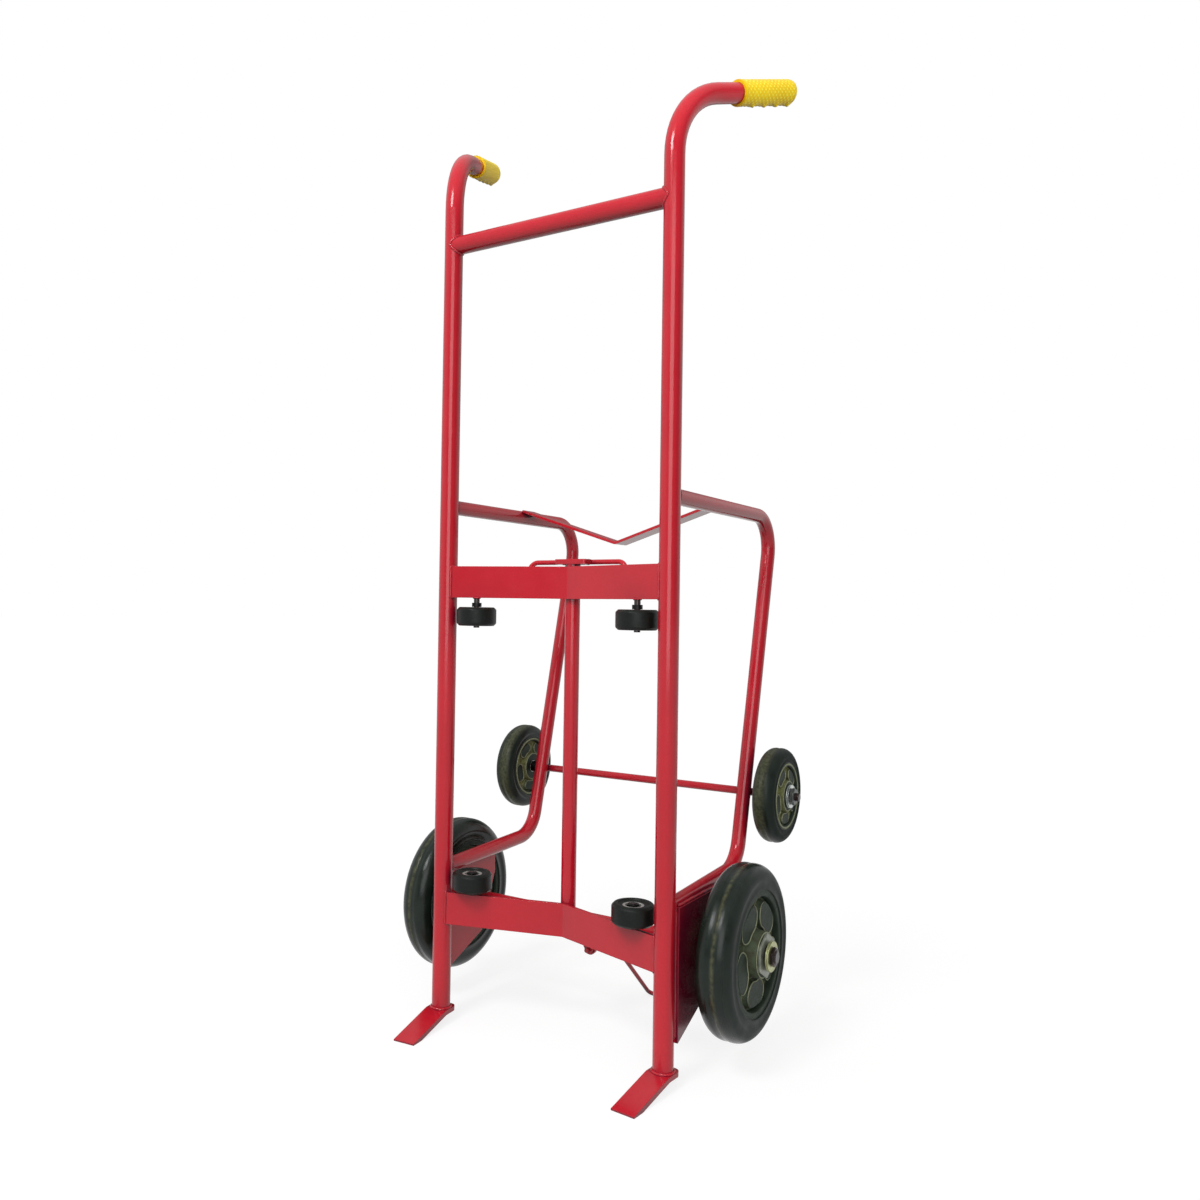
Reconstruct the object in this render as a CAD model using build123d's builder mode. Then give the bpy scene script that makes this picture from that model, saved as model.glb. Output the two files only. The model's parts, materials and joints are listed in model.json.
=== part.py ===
from build123d import *
import os
from math import atan, cos, radians, sin, tan

# Drum hand truck, in millimetres. X runs across the truck, -Y is the drum side and Z is up.
# The origin is on the floor, in the middle of the truck's box. A size called "behind" or "reach"
# is measured from the plane of the two uprights.

# Uprights and flow-back handles
upright_spacing = 396.0
upright_diameter = 30.0
upright_wall = 2.1
handle_corner_height = 1407.0
handle_bend_radius = 118.0
handle_rise = 17.5
handle_splay = 21.5
handle_length = 250.0
grip_diameter = 37.0
grip_length = 119.0
grip_cap = 4.0
grip_end_radius = 9.0
grip_lip = 0.6
grip_lip_width = 5.0
grip_fit = 0.1
finger_count = 4
finger_inset = 9.0
finger_pitch = 27.0
finger_radius = 7.0
finger_height = 2.6

# Cross members and centre tube
upper_tube_height = 1260.0
upper_tube_diameter = 29.4
upper_tube_wall = 2.0
bar_height = 50.8
bar_thickness = 6.0
bar_bend_radius = 9.0
crease_behind = 51.0
bar_end_forward = 9.5
middle_bar_bottom = 684.0
lower_bar_bottom = 159.0
center_tube_diameter = 23.5
center_tube_wall = 2.0
center_tube_rise = 4.0
center_tube_inset = 8.0

# Rear frame
rear_tube_diameter = 23.5
rear_tube_wall = 2.0
rear_top_height = 832.0
rear_bottom_height = 257.0
rear_bottom_rise = 10.0
rear_top_reach = 407.5
rear_bottom_reach = 262.0
rear_bend_radius = 54.0
brace_behind = 219.0
brace_width = 38.0
brace_thickness = 4.5
brace_slope = 18.0
brace_seat_angle = 45.0
brace_bend_radius = 8.0

# Axle plates
plate_thickness = 6.35
plate_top_drop = 7.0
plate_rear_margin = 36.0
plate_front_behind = 9.0
plate_foot_height = 61.5
plate_waist_margin = 58.0
plate_corner_radius = 10.0

# Toe plates
toe_reach = 103.0
toe_heel = 19.0
toe_width = 37.0
toe_thickness = 7.0
toe_rise = 15.5
toe_tip_thickness = 2.5
toe_flat_length = 22.0
toe_bend_forward = 12.0
toe_in = 5.0
toe_heel_radius = 10.0

# Raised kidney pads on both faces of the wheels
pad_count = 5
pad_sweep = 24.0
pad_share = 0.78
pad_start = 32.0

# Main wheels and axle
main_axle_behind = 126.5
main_axle_height = 169.2
main_axle_diameter = 19.05
main_wheel_diameter = 254.0
main_wheel_width = 54.0
main_tyre_shoulder = 21.0
main_rim_diameter = 182.0
main_rim_width = 50.0
main_rim_band = 9.0
main_web_thickness = 25.0
main_pad_rise = 9.5
main_hub_diameter = 66.0
main_hub_length = 67.0
main_bush_wall = 5.0
main_flange_across = 57.0
main_flange_thickness = 3.5
main_flange_neck_diameter = 32.0
main_flange_neck_length = 3.8
main_washer_diameter = 43.5
main_washer_thickness = 4.2
main_nut_across = 25.4
main_nut_thickness = 5.0
main_axle_stub = 2.0
main_axle_chamfer = 1.6
main_spacer_wall = 5.0
main_spacer_length = 14.5

# Rear wheels and axle
rear_axle_height = 370.0
rear_axle_diameter = 12.7
rear_wheel_diameter = 152.4
rear_wheel_width = 35.5
rear_tyre_shoulder = 14.0
rear_rim_diameter = 109.0
rear_rim_width = 34.5
rear_rim_band = 6.5
rear_web_thickness = 20.0
rear_pad_rise = 5.5
rear_hub_diameter = 50.0
rear_hub_length = 39.5
rear_bush_wall = 4.0
rear_washer_diameter = 37.0
rear_washer_thickness = 4.5
rear_nut_across = 24.0
rear_nut_thickness = 6.5
rear_axle_stub = 6.5
rear_axle_chamfer = 1.0
rear_spacer_wall = 3.5
rear_spacer_length = 18.35

# Drum rollers
roller_inset = 53.5
roller_diameter = 63.5
roller_height = 30.0
roller_chamfer = 4.0
roller_face_radius = 23.5
roller_face_depth = 2.5
roller_counterbore_radius = 16.0
roller_counterbore_depth = 9.0
roller_bush_wall = 5.0
stud_diameter = 9.5
upper_stud_tip = 4.0
lower_stud_tip = 1.0
upper_stud_bare = 8.0
lower_stud_bare = 0.0
roller_collar_wall = 3.0
upper_collar_length = 6.5
lower_collar_length = 6.0
roller_washer_diameter = 29.5
roller_washer_thickness = 1.6
roller_nut_across = 16.0
roller_nut_thickness = 6.0

# Chime hook
hook_post_length = 330.0
hook_plate_width = 56.0
hook_plate_thickness = 8.0
hook_plate_front = 12.0
hook_plate_corner = 4.0
hook_rod_diameter = 8.0
hook_rod_behind = 12.5
hook_span = 176.0
hook_finger_drop = 30.0
hook_finger_forward = 10.0
hook_bend_radius = 14.0

# Stand
stand_x = 7.0
stand_rod_diameter = 7.0
stand_pivot_height = 122.0
stand_knee_behind = 190.0
stand_foot_behind = 298.0
stand_foot_x = 27.0
stand_foot_length = 48.0
stand_bend_radius = 9.0
stand_pin_front = 12.0
ear_thickness = 6.0
ear_radius = 9.5
ear_top_width = 48.0
ear_top_shift = 12.0
ear_top_height = 4.0
collar_diameter = 15.0
collar_thickness = 4.0

# Clearances
running_fit = 0.05
running_gap = 0.4
slide_clearance = 0.3

# Values worked out from the sizes above
upright_radius = upright_diameter / 2
upright_x = upright_spacing / 2
rear_tube_radius = rear_tube_diameter / 2
rear_slope = atan((rear_top_reach - rear_bottom_reach) / (rear_top_height - rear_bottom_height))
rear_bend_length = rear_bend_radius * tan((radians(90) + rear_slope) / 2)
rear_reach = rear_top_reach - rear_bend_length + rear_bend_radius + rear_tube_radius
toe_turn = radians(toe_in)
front_reach = toe_reach * cos(toe_turn) + toe_width / 2 * sin(toe_turn)
uprights_y = (front_reach - rear_reach) / 2
upright_foot = toe_rise + toe_thickness
upright_axes = [(-upright_x, uprights_y), (upright_x, uprights_y)]
sides = {"left": -1, "right": 1}

rise = radians(handle_rise)
splay = radians(handle_splay)

arm_angle = atan((crease_behind + bar_end_forward) / upright_x)
crease_rounding = bar_bend_radius * (1 / cos(arm_angle) - 1)
crease_back = crease_behind - crease_rounding + bar_thickness / 2
center_tube_y = uprights_y + crease_back + center_tube_diameter / 2
center_tube_bottom = lower_bar_bottom + center_tube_inset
center_tube_top = middle_bar_bottom + bar_height + center_tube_rise
hook_post_diameter = center_tube_diameter - 2 * center_tube_wall - 2 * slide_clearance

roller_x = upright_x - roller_inset
stud_y = uprights_y + crease_behind - roller_x * tan(arm_angle)

main_axle_y = uprights_y + main_axle_behind
main_axle_point = (main_axle_y, main_axle_height)
plate_inner_x = upright_x + rear_tube_radius
plate_outer_x = plate_inner_x + plate_thickness
main_hub_inner = plate_outer_x + main_spacer_length + running_gap
main_hub_outer = main_hub_inner + main_hub_length
main_wheel_x = (main_hub_inner + main_hub_outer) / 2
main_flange_x = main_hub_outer + running_gap
main_neck_x = main_flange_x + main_flange_thickness
main_washer_x = main_neck_x + main_flange_neck_length
main_nut_x = main_washer_x + main_washer_thickness
main_axle_end = main_nut_x + main_nut_thickness + main_axle_stub

rear_axle_offset = rear_tube_radius + rear_axle_diameter / 2
rear_tube_at_axle = rear_bottom_reach + (rear_axle_height - rear_bottom_height) * tan(rear_slope)
rear_axle_y = uprights_y + rear_tube_at_axle + rear_axle_offset / cos(rear_slope)
rear_axle_point = (rear_axle_y, rear_axle_height)
rear_spacer_x = upright_x + rear_tube_radius
rear_hub_inner = rear_spacer_x + rear_spacer_length + running_gap
rear_hub_outer = rear_hub_inner + rear_hub_length
rear_wheel_x = (rear_hub_inner + rear_hub_outer) / 2
rear_washer_x = rear_hub_outer + running_gap
rear_nut_x = rear_washer_x + rear_washer_thickness
rear_axle_end = rear_nut_x + rear_nut_thickness + rear_axle_stub

# The brace's lower end edges rest on the inner shoulders of the rear tubes
brace_tilt = radians(brace_slope)
brace_seat = radians(brace_seat_angle)
brace_end_x = upright_x - rear_tube_radius * cos(brace_seat) - brace_thickness / 2 * sin(brace_tilt)
brace_rise = rear_tube_radius * sin(brace_seat) + brace_thickness / 2 * cos(brace_tilt)
brace_end_height = rear_top_height + brace_rise
brace_middle_height = brace_end_height - brace_end_x * tan(brace_tilt)

# Each roller hangs below the middle bar or stands above the lower bar, on a stud welded to the bar's edge.
# Direction is the way along Z from the bar to the roller, and heights are measured from the bar's edge.
rollers = {
    "upper": {
        "bar_edge": middle_bar_bottom,
        "direction": -1,
        "collar_start": upper_stud_bare,
        "collar_length": upper_collar_length,
        "tip": upper_stud_tip,
    },
    "lower": {
        "bar_edge": lower_bar_bottom + bar_height,
        "direction": 1,
        "collar_start": lower_stud_bare,
        "collar_length": lower_collar_length,
        "tip": lower_stud_tip,
    },
}

os.makedirs("parts", exist_ok=True)


def finish(part, name):
    """Label a finished piece and write it."""
    part.label = name
    export_step(part, f"parts/{name}.step")


# Uprights, each bent back and outwards into its handle, and the grips on their ends
for side, sign in sides.items():
    corner = Vector(sign * upright_x, uprights_y, handle_corner_height)
    handle_way = Vector(sign * sin(splay) * cos(rise), cos(splay) * cos(rise), sin(rise))
    handle_end = corner + handle_way * handle_length
    foot = Vector(sign * upright_x, uprights_y, upright_foot)
    with BuildPart() as upright:
        with BuildLine():
            FilletPolyline(foot, corner, handle_end, radius=handle_bend_radius)
        with BuildSketch(Plane(origin=foot, z_dir=(0, 0, 1))):
            Circle(upright_radius)
            Circle(upright_radius - upright_wall, mode=Mode.SUBTRACT)
        sweep()
    finish(upright.part, f"{side}_upright")

    across = Vector(cos(splay), -sign * sin(splay), 0)
    under_way = across.cross(handle_way)
    end_plane = Plane(origin=handle_end, x_dir=across, z_dir=handle_way)
    with BuildPart() as grip:
        with BuildSketch(end_plane.offset(-grip_length)):
            Circle(grip_diameter / 2)
        extrude(amount=grip_length + grip_cap)
        fillet(grip.edges().sort_by(Axis(handle_end, handle_way))[-1], radius=grip_end_radius)
        with BuildSketch(end_plane.offset(-grip_length)):
            Circle(grip_diameter / 2 + grip_lip)
        extrude(amount=grip_lip_width)
        # Rounded finger nubs along the underside
        nub_depth = grip_diameter / 2 + finger_height - finger_radius
        last_nub = handle_end - handle_way * finger_inset - under_way * nub_depth
        nubs = [last_nub - handle_way * (number * finger_pitch) for number in range(finger_count)]
        with Locations(*nubs):
            Sphere(finger_radius)
        with BuildSketch(end_plane):
            Circle(upright_radius + grip_fit)
        extrude(amount=-grip_length, mode=Mode.SUBTRACT)
    finish(grip.part, f"{side}_grip")

# Upper cross tube, its ends cut round to fit the uprights
with BuildPart() as upper_cross_tube:
    with BuildSketch(Plane.YZ.offset(-upright_x)):
        with Locations((uprights_y, upper_tube_height)):
            Circle(upper_tube_diameter / 2)
            Circle(upper_tube_diameter / 2 - upper_tube_wall, mode=Mode.SUBTRACT)
    extrude(amount=upright_spacing)
    with BuildSketch(Plane.XY.offset(upper_tube_height)):
        with Locations(*upright_axes):
            Circle(upright_radius)
    extrude(amount=upper_tube_diameter, both=True, mode=Mode.SUBTRACT)
finish(upper_cross_tube.part, "upper_cross_tube")

# Cradle bars, flat bars creased in the middle and cut round to fit the uprights
for bar_name, bar_bottom in {"middle": middle_bar_bottom, "lower": lower_bar_bottom}.items():
    with BuildPart() as cradle_bar:
        with BuildSketch(Plane.XY.offset(bar_bottom)):
            with BuildLine():
                FilletPolyline(
                    (-upright_x, uprights_y - bar_end_forward),
                    (0, uprights_y + crease_behind),
                    (upright_x, uprights_y - bar_end_forward),
                    radius=bar_bend_radius,
                )
            trace(line_width=bar_thickness)
        extrude(amount=bar_height)
        with BuildSketch(Plane.XY.offset(bar_bottom)):
            with Locations(*upright_axes):
                Circle(upright_radius)
        extrude(amount=bar_height, mode=Mode.SUBTRACT)
    finish(cradle_bar.part, f"{bar_name}_cradle_bar")

# Centre tube, which guides the chime hook's post
with BuildPart() as center_tube:
    with BuildSketch(Plane.XY.offset(center_tube_bottom)):
        with Locations((0, center_tube_y)):
            Circle(center_tube_diameter / 2)
            Circle(center_tube_diameter / 2 - center_tube_wall, mode=Mode.SUBTRACT)
    extrude(amount=center_tube_top - center_tube_bottom)
finish(center_tube.part, "center_tube")

# Rear tubes, each bent to a C and cut round to fit its upright
for side, sign in sides.items():
    tube_start = Vector(sign * upright_x, uprights_y, rear_top_height)
    with BuildPart() as rear_tube:
        with BuildLine():
            FilletPolyline(
                tube_start,
                (sign * upright_x, uprights_y + rear_top_reach, rear_top_height),
                (sign * upright_x, uprights_y + rear_bottom_reach, rear_bottom_height),
                (sign * upright_x, uprights_y, rear_bottom_height - rear_bottom_rise),
                radius=rear_bend_radius,
            )
        with BuildSketch(Plane(origin=tube_start, z_dir=(0, 1, 0))):
            Circle(rear_tube_radius)
            Circle(rear_tube_radius - rear_tube_wall, mode=Mode.SUBTRACT)
        sweep()
        with BuildSketch(Plane.XY):
            with Locations((sign * upright_x, uprights_y)):
                Circle(upright_radius)
        extrude(amount=rear_top_height + rear_tube_diameter, mode=Mode.SUBTRACT)
    finish(rear_tube.part, f"{side}_rear_tube")

# Rear brace, a flat bar bent to a shallow V and seated on the two rear tubes
with BuildPart() as rear_v_brace:
    with BuildSketch(Plane.XZ.offset(-(uprights_y + brace_behind + brace_width / 2))):
        with BuildLine():
            FilletPolyline(
                (-brace_end_x, brace_end_height),
                (0, brace_middle_height),
                (brace_end_x, brace_end_height),
                radius=brace_bend_radius,
            )
        trace(line_width=brace_thickness)
    extrude(amount=brace_width)
finish(rear_v_brace.part, "rear_v_brace")

# Axle plates, outside the rear tubes and behind the uprights
plate_top = rear_bottom_height - plate_top_drop
plate_rear = main_axle_y + plate_rear_margin
for side, sign in sides.items():
    with BuildPart() as axle_plate:
        with BuildSketch(Plane.YZ.offset(sign * plate_inner_x)):
            with BuildLine():
                Polyline(
                    (uprights_y + plate_front_behind, plate_top),
                    (uprights_y + plate_front_behind, plate_foot_height),
                    (main_axle_y, main_axle_height - plate_waist_margin),
                    (plate_rear, main_axle_height + plate_rear_margin),
                    (plate_rear, plate_top),
                    close=True,
                )
            make_face()
            fillet(vertices().group_by(Axis.X)[-1], radius=plate_corner_radius)
            with Locations(main_axle_point):
                Circle(main_axle_diameter / 2, mode=Mode.SUBTRACT)
        extrude(amount=sign * plate_thickness)
        with BuildSketch(Plane.XY.offset(plate_foot_height)):
            with Locations((sign * upright_x, uprights_y)):
                Circle(upright_radius)
        extrude(amount=plate_top - plate_foot_height, mode=Mode.SUBTRACT)
    finish(axle_plate.part, f"{side}_axle_plate")

# Toe plates, flat under the upright, bent down to the floor and thinned towards the tip
for side, sign in sides.items():
    back_way = (sign * sin(toe_turn), cos(toe_turn), 0)
    side_way = (cos(toe_turn), -sign * sin(toe_turn), 0)
    toe_plane = Plane(origin=(sign * upright_x, uprights_y, 0), x_dir=back_way, z_dir=side_way)
    with BuildPart() as toe_plate:
        with BuildSketch(toe_plane):
            with BuildLine():
                Polyline(
                    (toe_heel, toe_rise),
                    (-toe_bend_forward, toe_rise),
                    (-toe_reach + toe_flat_length, 0),
                    (-toe_reach, 0),
                    (-toe_reach, toe_tip_thickness),
                    (-upright_radius, upright_foot),
                    (toe_heel, upright_foot),
                    close=True,
                )
            make_face()
        extrude(amount=toe_width / 2, both=True)
        heel_corners = toe_plate.edges().filter_by(Axis.Z).sort_by(Axis(toe_plane.origin, back_way))[-2:]
        fillet(heel_corners, radius=toe_heel_radius)
    finish(toe_plate.part, f"{side}_toe_plate")

# Axles, straight rods with chamfered ends
axles = {
    "main_axle": (main_axle_point, main_axle_diameter, main_axle_end, main_axle_chamfer),
    "rear_axle": (rear_axle_point, rear_axle_diameter, rear_axle_end, rear_axle_chamfer),
}
for axle_name, (axle_point, axle_diameter, axle_end, end_chamfer) in axles.items():
    with BuildPart() as axle:
        with BuildSketch(Plane.YZ):
            with Locations(axle_point):
                Circle(axle_diameter / 2)
        extrude(amount=axle_end, both=True)
        chamfer(axle.edges().filter_by(GeomType.CIRCLE), length=end_chamfer)
    finish(axle.part, axle_name)


def axle_rings(name, axle_point, start, thickness, outer_radius, bore_radius, corners=0):
    """A pair of washers, spacers or nuts on the two ends of an axle; corners gives a polygon outside."""
    with BuildPart() as rings:
        for sign in sides.values():
            with BuildSketch(Plane.YZ.offset(sign * start)):
                with Locations(axle_point):
                    if corners:
                        RegularPolygon(outer_radius, corners, major_radius=False, rotation=90)
                    else:
                        Circle(outer_radius)
                    Circle(bore_radius, mode=Mode.SUBTRACT)
            extrude(amount=sign * thickness)
    finish(rings.part, name)


main_bore = main_axle_diameter / 2
rear_bore = rear_axle_diameter / 2
axle_rings("main_axle_spacers", main_axle_point, plate_outer_x, main_spacer_length,
           main_bore + main_spacer_wall, main_bore)
axle_rings("main_axle_flanges", main_axle_point, main_flange_x, main_flange_thickness,
           main_flange_across / 2, main_bore, corners=6)
axle_rings("main_flange_necks", main_axle_point, main_neck_x, main_flange_neck_length,
           main_flange_neck_diameter / 2, main_bore)
axle_rings("main_axle_washers", main_axle_point, main_washer_x, main_washer_thickness,
           main_washer_diameter / 2, main_bore)
axle_rings("main_axle_nuts", main_axle_point, main_nut_x, main_nut_thickness,
           main_nut_across / 2, main_bore, corners=6)
axle_rings("rear_axle_spacers", rear_axle_point, rear_spacer_x, rear_spacer_length,
           rear_bore + rear_spacer_wall, rear_bore)
axle_rings("rear_axle_washers", rear_axle_point, rear_washer_x, rear_washer_thickness,
           rear_washer_diameter / 2, rear_bore)
axle_rings("rear_axle_nuts", rear_axle_point, rear_nut_x, rear_nut_thickness,
           rear_nut_across / 2, rear_bore, corners=6)


def wheel(name, center, sizes):
    """The tyre, hub and bush of one wheel that turns about an axle along X."""
    radius = sizes["diameter"] / 2
    half_width = sizes["width"] / 2
    rim_radius = sizes["rim_diameter"] / 2
    rim_half = sizes["rim_width"] / 2
    band_inner = rim_radius - sizes["rim_band"]
    web_half = sizes["web"] / 2
    hub_radius = sizes["hub_diameter"] / 2
    hub_half = sizes["hub_length"] / 2
    bush_inner = sizes["axle_diameter"] / 2 + running_fit
    bush_outer = bush_inner + sizes["bush_wall"]
    section = Plane(origin=center, x_dir=(1, 0, 0), z_dir=(0, -1, 0))
    wheel_axis = Axis(center, (1, 0, 0))
    pad_arc = CenterArc((0, 0), (band_inner + hub_radius) / 2, -pad_sweep / 2, pad_sweep)

    with BuildPart() as tyre:
        with BuildSketch(section):
            with BuildLine():
                Polyline(
                    (-rim_half, rim_radius),
                    (-half_width, rim_radius + half_width - rim_half),
                    (-half_width, radius),
                    (half_width, radius),
                    (half_width, rim_radius + half_width - rim_half),
                    (rim_half, rim_radius),
                    close=True,
                )
            make_face()
            fillet(vertices().group_by(Axis.Y)[-1], radius=sizes["shoulder"])
        revolve(axis=wheel_axis)
    finish(tyre.part, f"{name}_tyre")

    with BuildPart() as hub:
        with BuildSketch(section):
            with BuildLine():
                Polyline(
                    (0, bush_outer),
                    (hub_half, bush_outer),
                    (hub_half, hub_radius),
                    (web_half, hub_radius),
                    (web_half, band_inner),
                    (rim_half, band_inner),
                    (rim_half, rim_radius),
                    (0, rim_radius),
                    close=True,
                )
            make_face()
            mirror(about=Plane.YZ)
        revolve(axis=wheel_axis)
        # Kidney pads that stand proud of both faces of the web
        for face_way in (-1, 1):
            web_face = Plane(origin=Vector(*center) + Vector(face_way * web_half, 0, 0), x_dir=(0, 0, 1),
                             z_dir=(1, 0, 0))
            with BuildSketch(web_face):
                with PolarLocations(0, pad_count, start_angle=pad_start):
                    SlotArc(pad_arc, (band_inner - hub_radius) * pad_share)
            extrude(amount=face_way * sizes["pad_rise"])
    finish(hub.part, f"{name}_hub")

    with BuildPart() as bush:
        with BuildSketch(section):
            with Locations((0, (bush_inner + bush_outer) / 2)):
                Rectangle(sizes["hub_length"], bush_outer - bush_inner)
        revolve(axis=wheel_axis)
    finish(bush.part, f"{name}_bush")


main_wheel_sizes = {
    "diameter": main_wheel_diameter,
    "width": main_wheel_width,
    "shoulder": main_tyre_shoulder,
    "rim_diameter": main_rim_diameter,
    "rim_width": main_rim_width,
    "rim_band": main_rim_band,
    "web": main_web_thickness,
    "hub_diameter": main_hub_diameter,
    "hub_length": main_hub_length,
    "bush_wall": main_bush_wall,
    "axle_diameter": main_axle_diameter,
    "pad_rise": main_pad_rise,
}
rear_wheel_sizes = {
    "diameter": rear_wheel_diameter,
    "width": rear_wheel_width,
    "shoulder": rear_tyre_shoulder,
    "rim_diameter": rear_rim_diameter,
    "rim_width": rear_rim_width,
    "rim_band": rear_rim_band,
    "web": rear_web_thickness,
    "hub_diameter": rear_hub_diameter,
    "hub_length": rear_hub_length,
    "bush_wall": rear_bush_wall,
    "axle_diameter": rear_axle_diameter,
    "pad_rise": rear_pad_rise,
}
for side, sign in sides.items():
    wheel(f"{side}_main", (sign * main_wheel_x, *main_axle_point), main_wheel_sizes)
    wheel(f"{side}_rear", (sign * rear_wheel_x, *rear_axle_point), rear_wheel_sizes)

# Drum rollers on upright studs, each counterbored on its outer face for the washer and nut
bush_radius = stud_diameter / 2 + running_fit
bush_outer_radius = bush_radius + roller_bush_wall
bush_length = roller_height - roller_counterbore_depth
for level, place in rollers.items():
    way = place["direction"]
    roller_offset = place["collar_start"] + place["collar_length"] + running_gap
    for side, sign in sides.items():
        inner_end = (sign * roller_x, stud_y, place["bar_edge"] + way * roller_offset)
        section = Plane(origin=inner_end, x_dir=(1, 0, 0), z_dir=(0, -way, 0))
        with BuildPart() as roller:
            with BuildSketch(section):
                with BuildLine():
                    Polyline(
                        (bush_outer_radius, 0),
                        (roller_diameter / 2 - roller_chamfer, 0),
                        (roller_diameter / 2, roller_chamfer),
                        (roller_diameter / 2, roller_height - roller_chamfer),
                        (roller_diameter / 2 - roller_chamfer, roller_height),
                        (roller_face_radius, roller_height),
                        (roller_face_radius, roller_height - roller_face_depth),
                        (roller_counterbore_radius, roller_height - roller_face_depth),
                        (roller_counterbore_radius, bush_length),
                        (bush_outer_radius, bush_length),
                        close=True,
                    )
                make_face()
            revolve(axis=Axis(inner_end, (0, 0, 1)))
        finish(roller.part, f"{side}_{level}_roller")

        with BuildPart() as roller_bush:
            with BuildSketch(section):
                with Locations((bush_radius, 0)):
                    Rectangle(roller_bush_wall, bush_length, align=Align.MIN)
            revolve(axis=Axis(inner_end, (0, 0, 1)))
        finish(roller_bush.part, f"{side}_{level}_roller_bush")


def stud_pieces(name, offset_for, length_for, outer_radius, bore_radius=0, corners=0):
    """Four like pieces on the roller studs; the offset and length come from each roller's place."""
    with BuildPart() as pieces:
        for place in rollers.values():
            way = place["direction"]
            with BuildSketch(Plane.XY.offset(place["bar_edge"] + way * offset_for(place))):
                with Locations((-roller_x, stud_y), (roller_x, stud_y)):
                    if corners:
                        RegularPolygon(outer_radius, corners, major_radius=False)
                    else:
                        Circle(outer_radius)
                    if bore_radius:
                        Circle(bore_radius, mode=Mode.SUBTRACT)
            extrude(amount=way * length_for(place))
    finish(pieces.part, name)


def washer_offset(place):
    """Distance from the bar's edge to the washer beyond the roller's bush."""
    return place["collar_start"] + place["collar_length"] + bush_length + 2 * running_gap


def nut_offset(place):
    """Distance from the bar's edge to the nut beyond the washer."""
    return washer_offset(place) + roller_washer_thickness


stud_radius = stud_diameter / 2
stud_pieces("roller_studs", lambda place: 0,
            lambda place: nut_offset(place) + roller_nut_thickness + place["tip"], stud_radius)
stud_pieces("roller_collars", lambda place: place["collar_start"], lambda place: place["collar_length"],
            stud_radius + roller_collar_wall, stud_radius)
stud_pieces("roller_washers", washer_offset, lambda place: roller_washer_thickness,
            roller_washer_diameter / 2, stud_radius)
stud_pieces("roller_nuts", nut_offset, lambda place: roller_nut_thickness,
            roller_nut_across / 2, stud_radius, corners=6)

# Chime hook: a post that slides in the centre tube, a plate on its top and a rod with two fingers
with BuildPart() as hook_post:
    with BuildSketch(Plane.XY.offset(center_tube_top)):
        with Locations((0, center_tube_y)):
            Circle(hook_post_diameter / 2)
    extrude(amount=-hook_post_length)
finish(hook_post.part, "hook_post")

hook_rod_y = center_tube_y + hook_rod_behind
hook_rod_z = center_tube_top + hook_plate_thickness / 2
hook_plate_rear = hook_rod_y - hook_rod_diameter / 2
hook_plate_depth = hook_plate_rear - center_tube_y + hook_plate_front
with BuildPart() as hook_plate:
    with BuildSketch(Plane.XY.offset(center_tube_top)):
        with Locations((0, hook_plate_rear - hook_plate_depth / 2)):
            Rectangle(hook_plate_width, hook_plate_depth)
        fillet(vertices().group_by(Axis.Y)[0], radius=hook_plate_corner)
    extrude(amount=hook_plate_thickness)
finish(hook_plate.part, "hook_plate")

with BuildPart() as hook_rod:
    finger_tip_y = hook_rod_y - hook_finger_forward
    finger_tip_z = hook_rod_z - hook_finger_drop
    with BuildLine():
        FilletPolyline(
            (-hook_span / 2, finger_tip_y, finger_tip_z),
            (-hook_span / 2, hook_rod_y, hook_rod_z),
            (hook_span / 2, hook_rod_y, hook_rod_z),
            (hook_span / 2, finger_tip_y, finger_tip_z),
            radius=hook_bend_radius,
        )
    with BuildSketch(Plane(origin=(-hook_span / 2, finger_tip_y, finger_tip_z),
                           z_dir=(0, hook_finger_forward, hook_finger_drop))):
        Circle(hook_rod_diameter / 2)
    sweep()
finish(hook_rod.part, "hook_rod")

# Stand: an ear under the main axle and a bent rod that swings in it
ear_front = main_axle_y - ear_thickness / 2
ear_rear = main_axle_y + ear_thickness / 2
with BuildPart() as stand_hanger:
    with BuildSketch(Plane.XZ.offset(-ear_rear)):
        with Locations((stand_x, stand_pivot_height)):
            Circle(ear_radius)
        with Locations((stand_x - ear_top_shift, main_axle_height)):
            Rectangle(ear_top_width, ear_top_height)
        make_hull()
        with Locations((stand_x, stand_pivot_height)):
            Circle(stand_rod_diameter / 2 + running_fit, mode=Mode.SUBTRACT)
    extrude(amount=ear_thickness)
    with BuildSketch(Plane.YZ.offset(stand_x)):
        with Locations(main_axle_point):
            Circle(main_axle_diameter / 2)
    extrude(amount=ear_top_width, both=True, mode=Mode.SUBTRACT)
finish(stand_hanger.part, "stand_hanger")

with BuildPart() as stand_leg:
    pin_start = Vector(stand_x, ear_front - stand_pin_front, stand_pivot_height)
    foot_height = stand_rod_diameter / 2
    with BuildLine():
        FilletPolyline(
            pin_start,
            (stand_x, uprights_y + stand_knee_behind, stand_pivot_height),
            (stand_foot_x, uprights_y + stand_foot_behind, foot_height),
            (stand_foot_x + stand_foot_length, uprights_y + stand_foot_behind, foot_height),
            radius=stand_bend_radius,
        )
    with BuildSketch(Plane(origin=pin_start, z_dir=(0, 1, 0))):
        Circle(stand_rod_diameter / 2)
    sweep()
finish(stand_leg.part, "stand_leg")

with BuildPart() as stand_collars:
    for collar_face, collar_way in ((ear_front, -1), (ear_rear, 1)):
        with BuildSketch(Plane.XZ.offset(-(collar_face + collar_way * running_gap))):
            with Locations((stand_x, stand_pivot_height)):
                Circle(collar_diameter / 2)
                Circle(stand_rod_diameter / 2, mode=Mode.SUBTRACT)
        extrude(amount=-collar_way * collar_thickness)
finish(stand_collars.part, "stand_collars")
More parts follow.
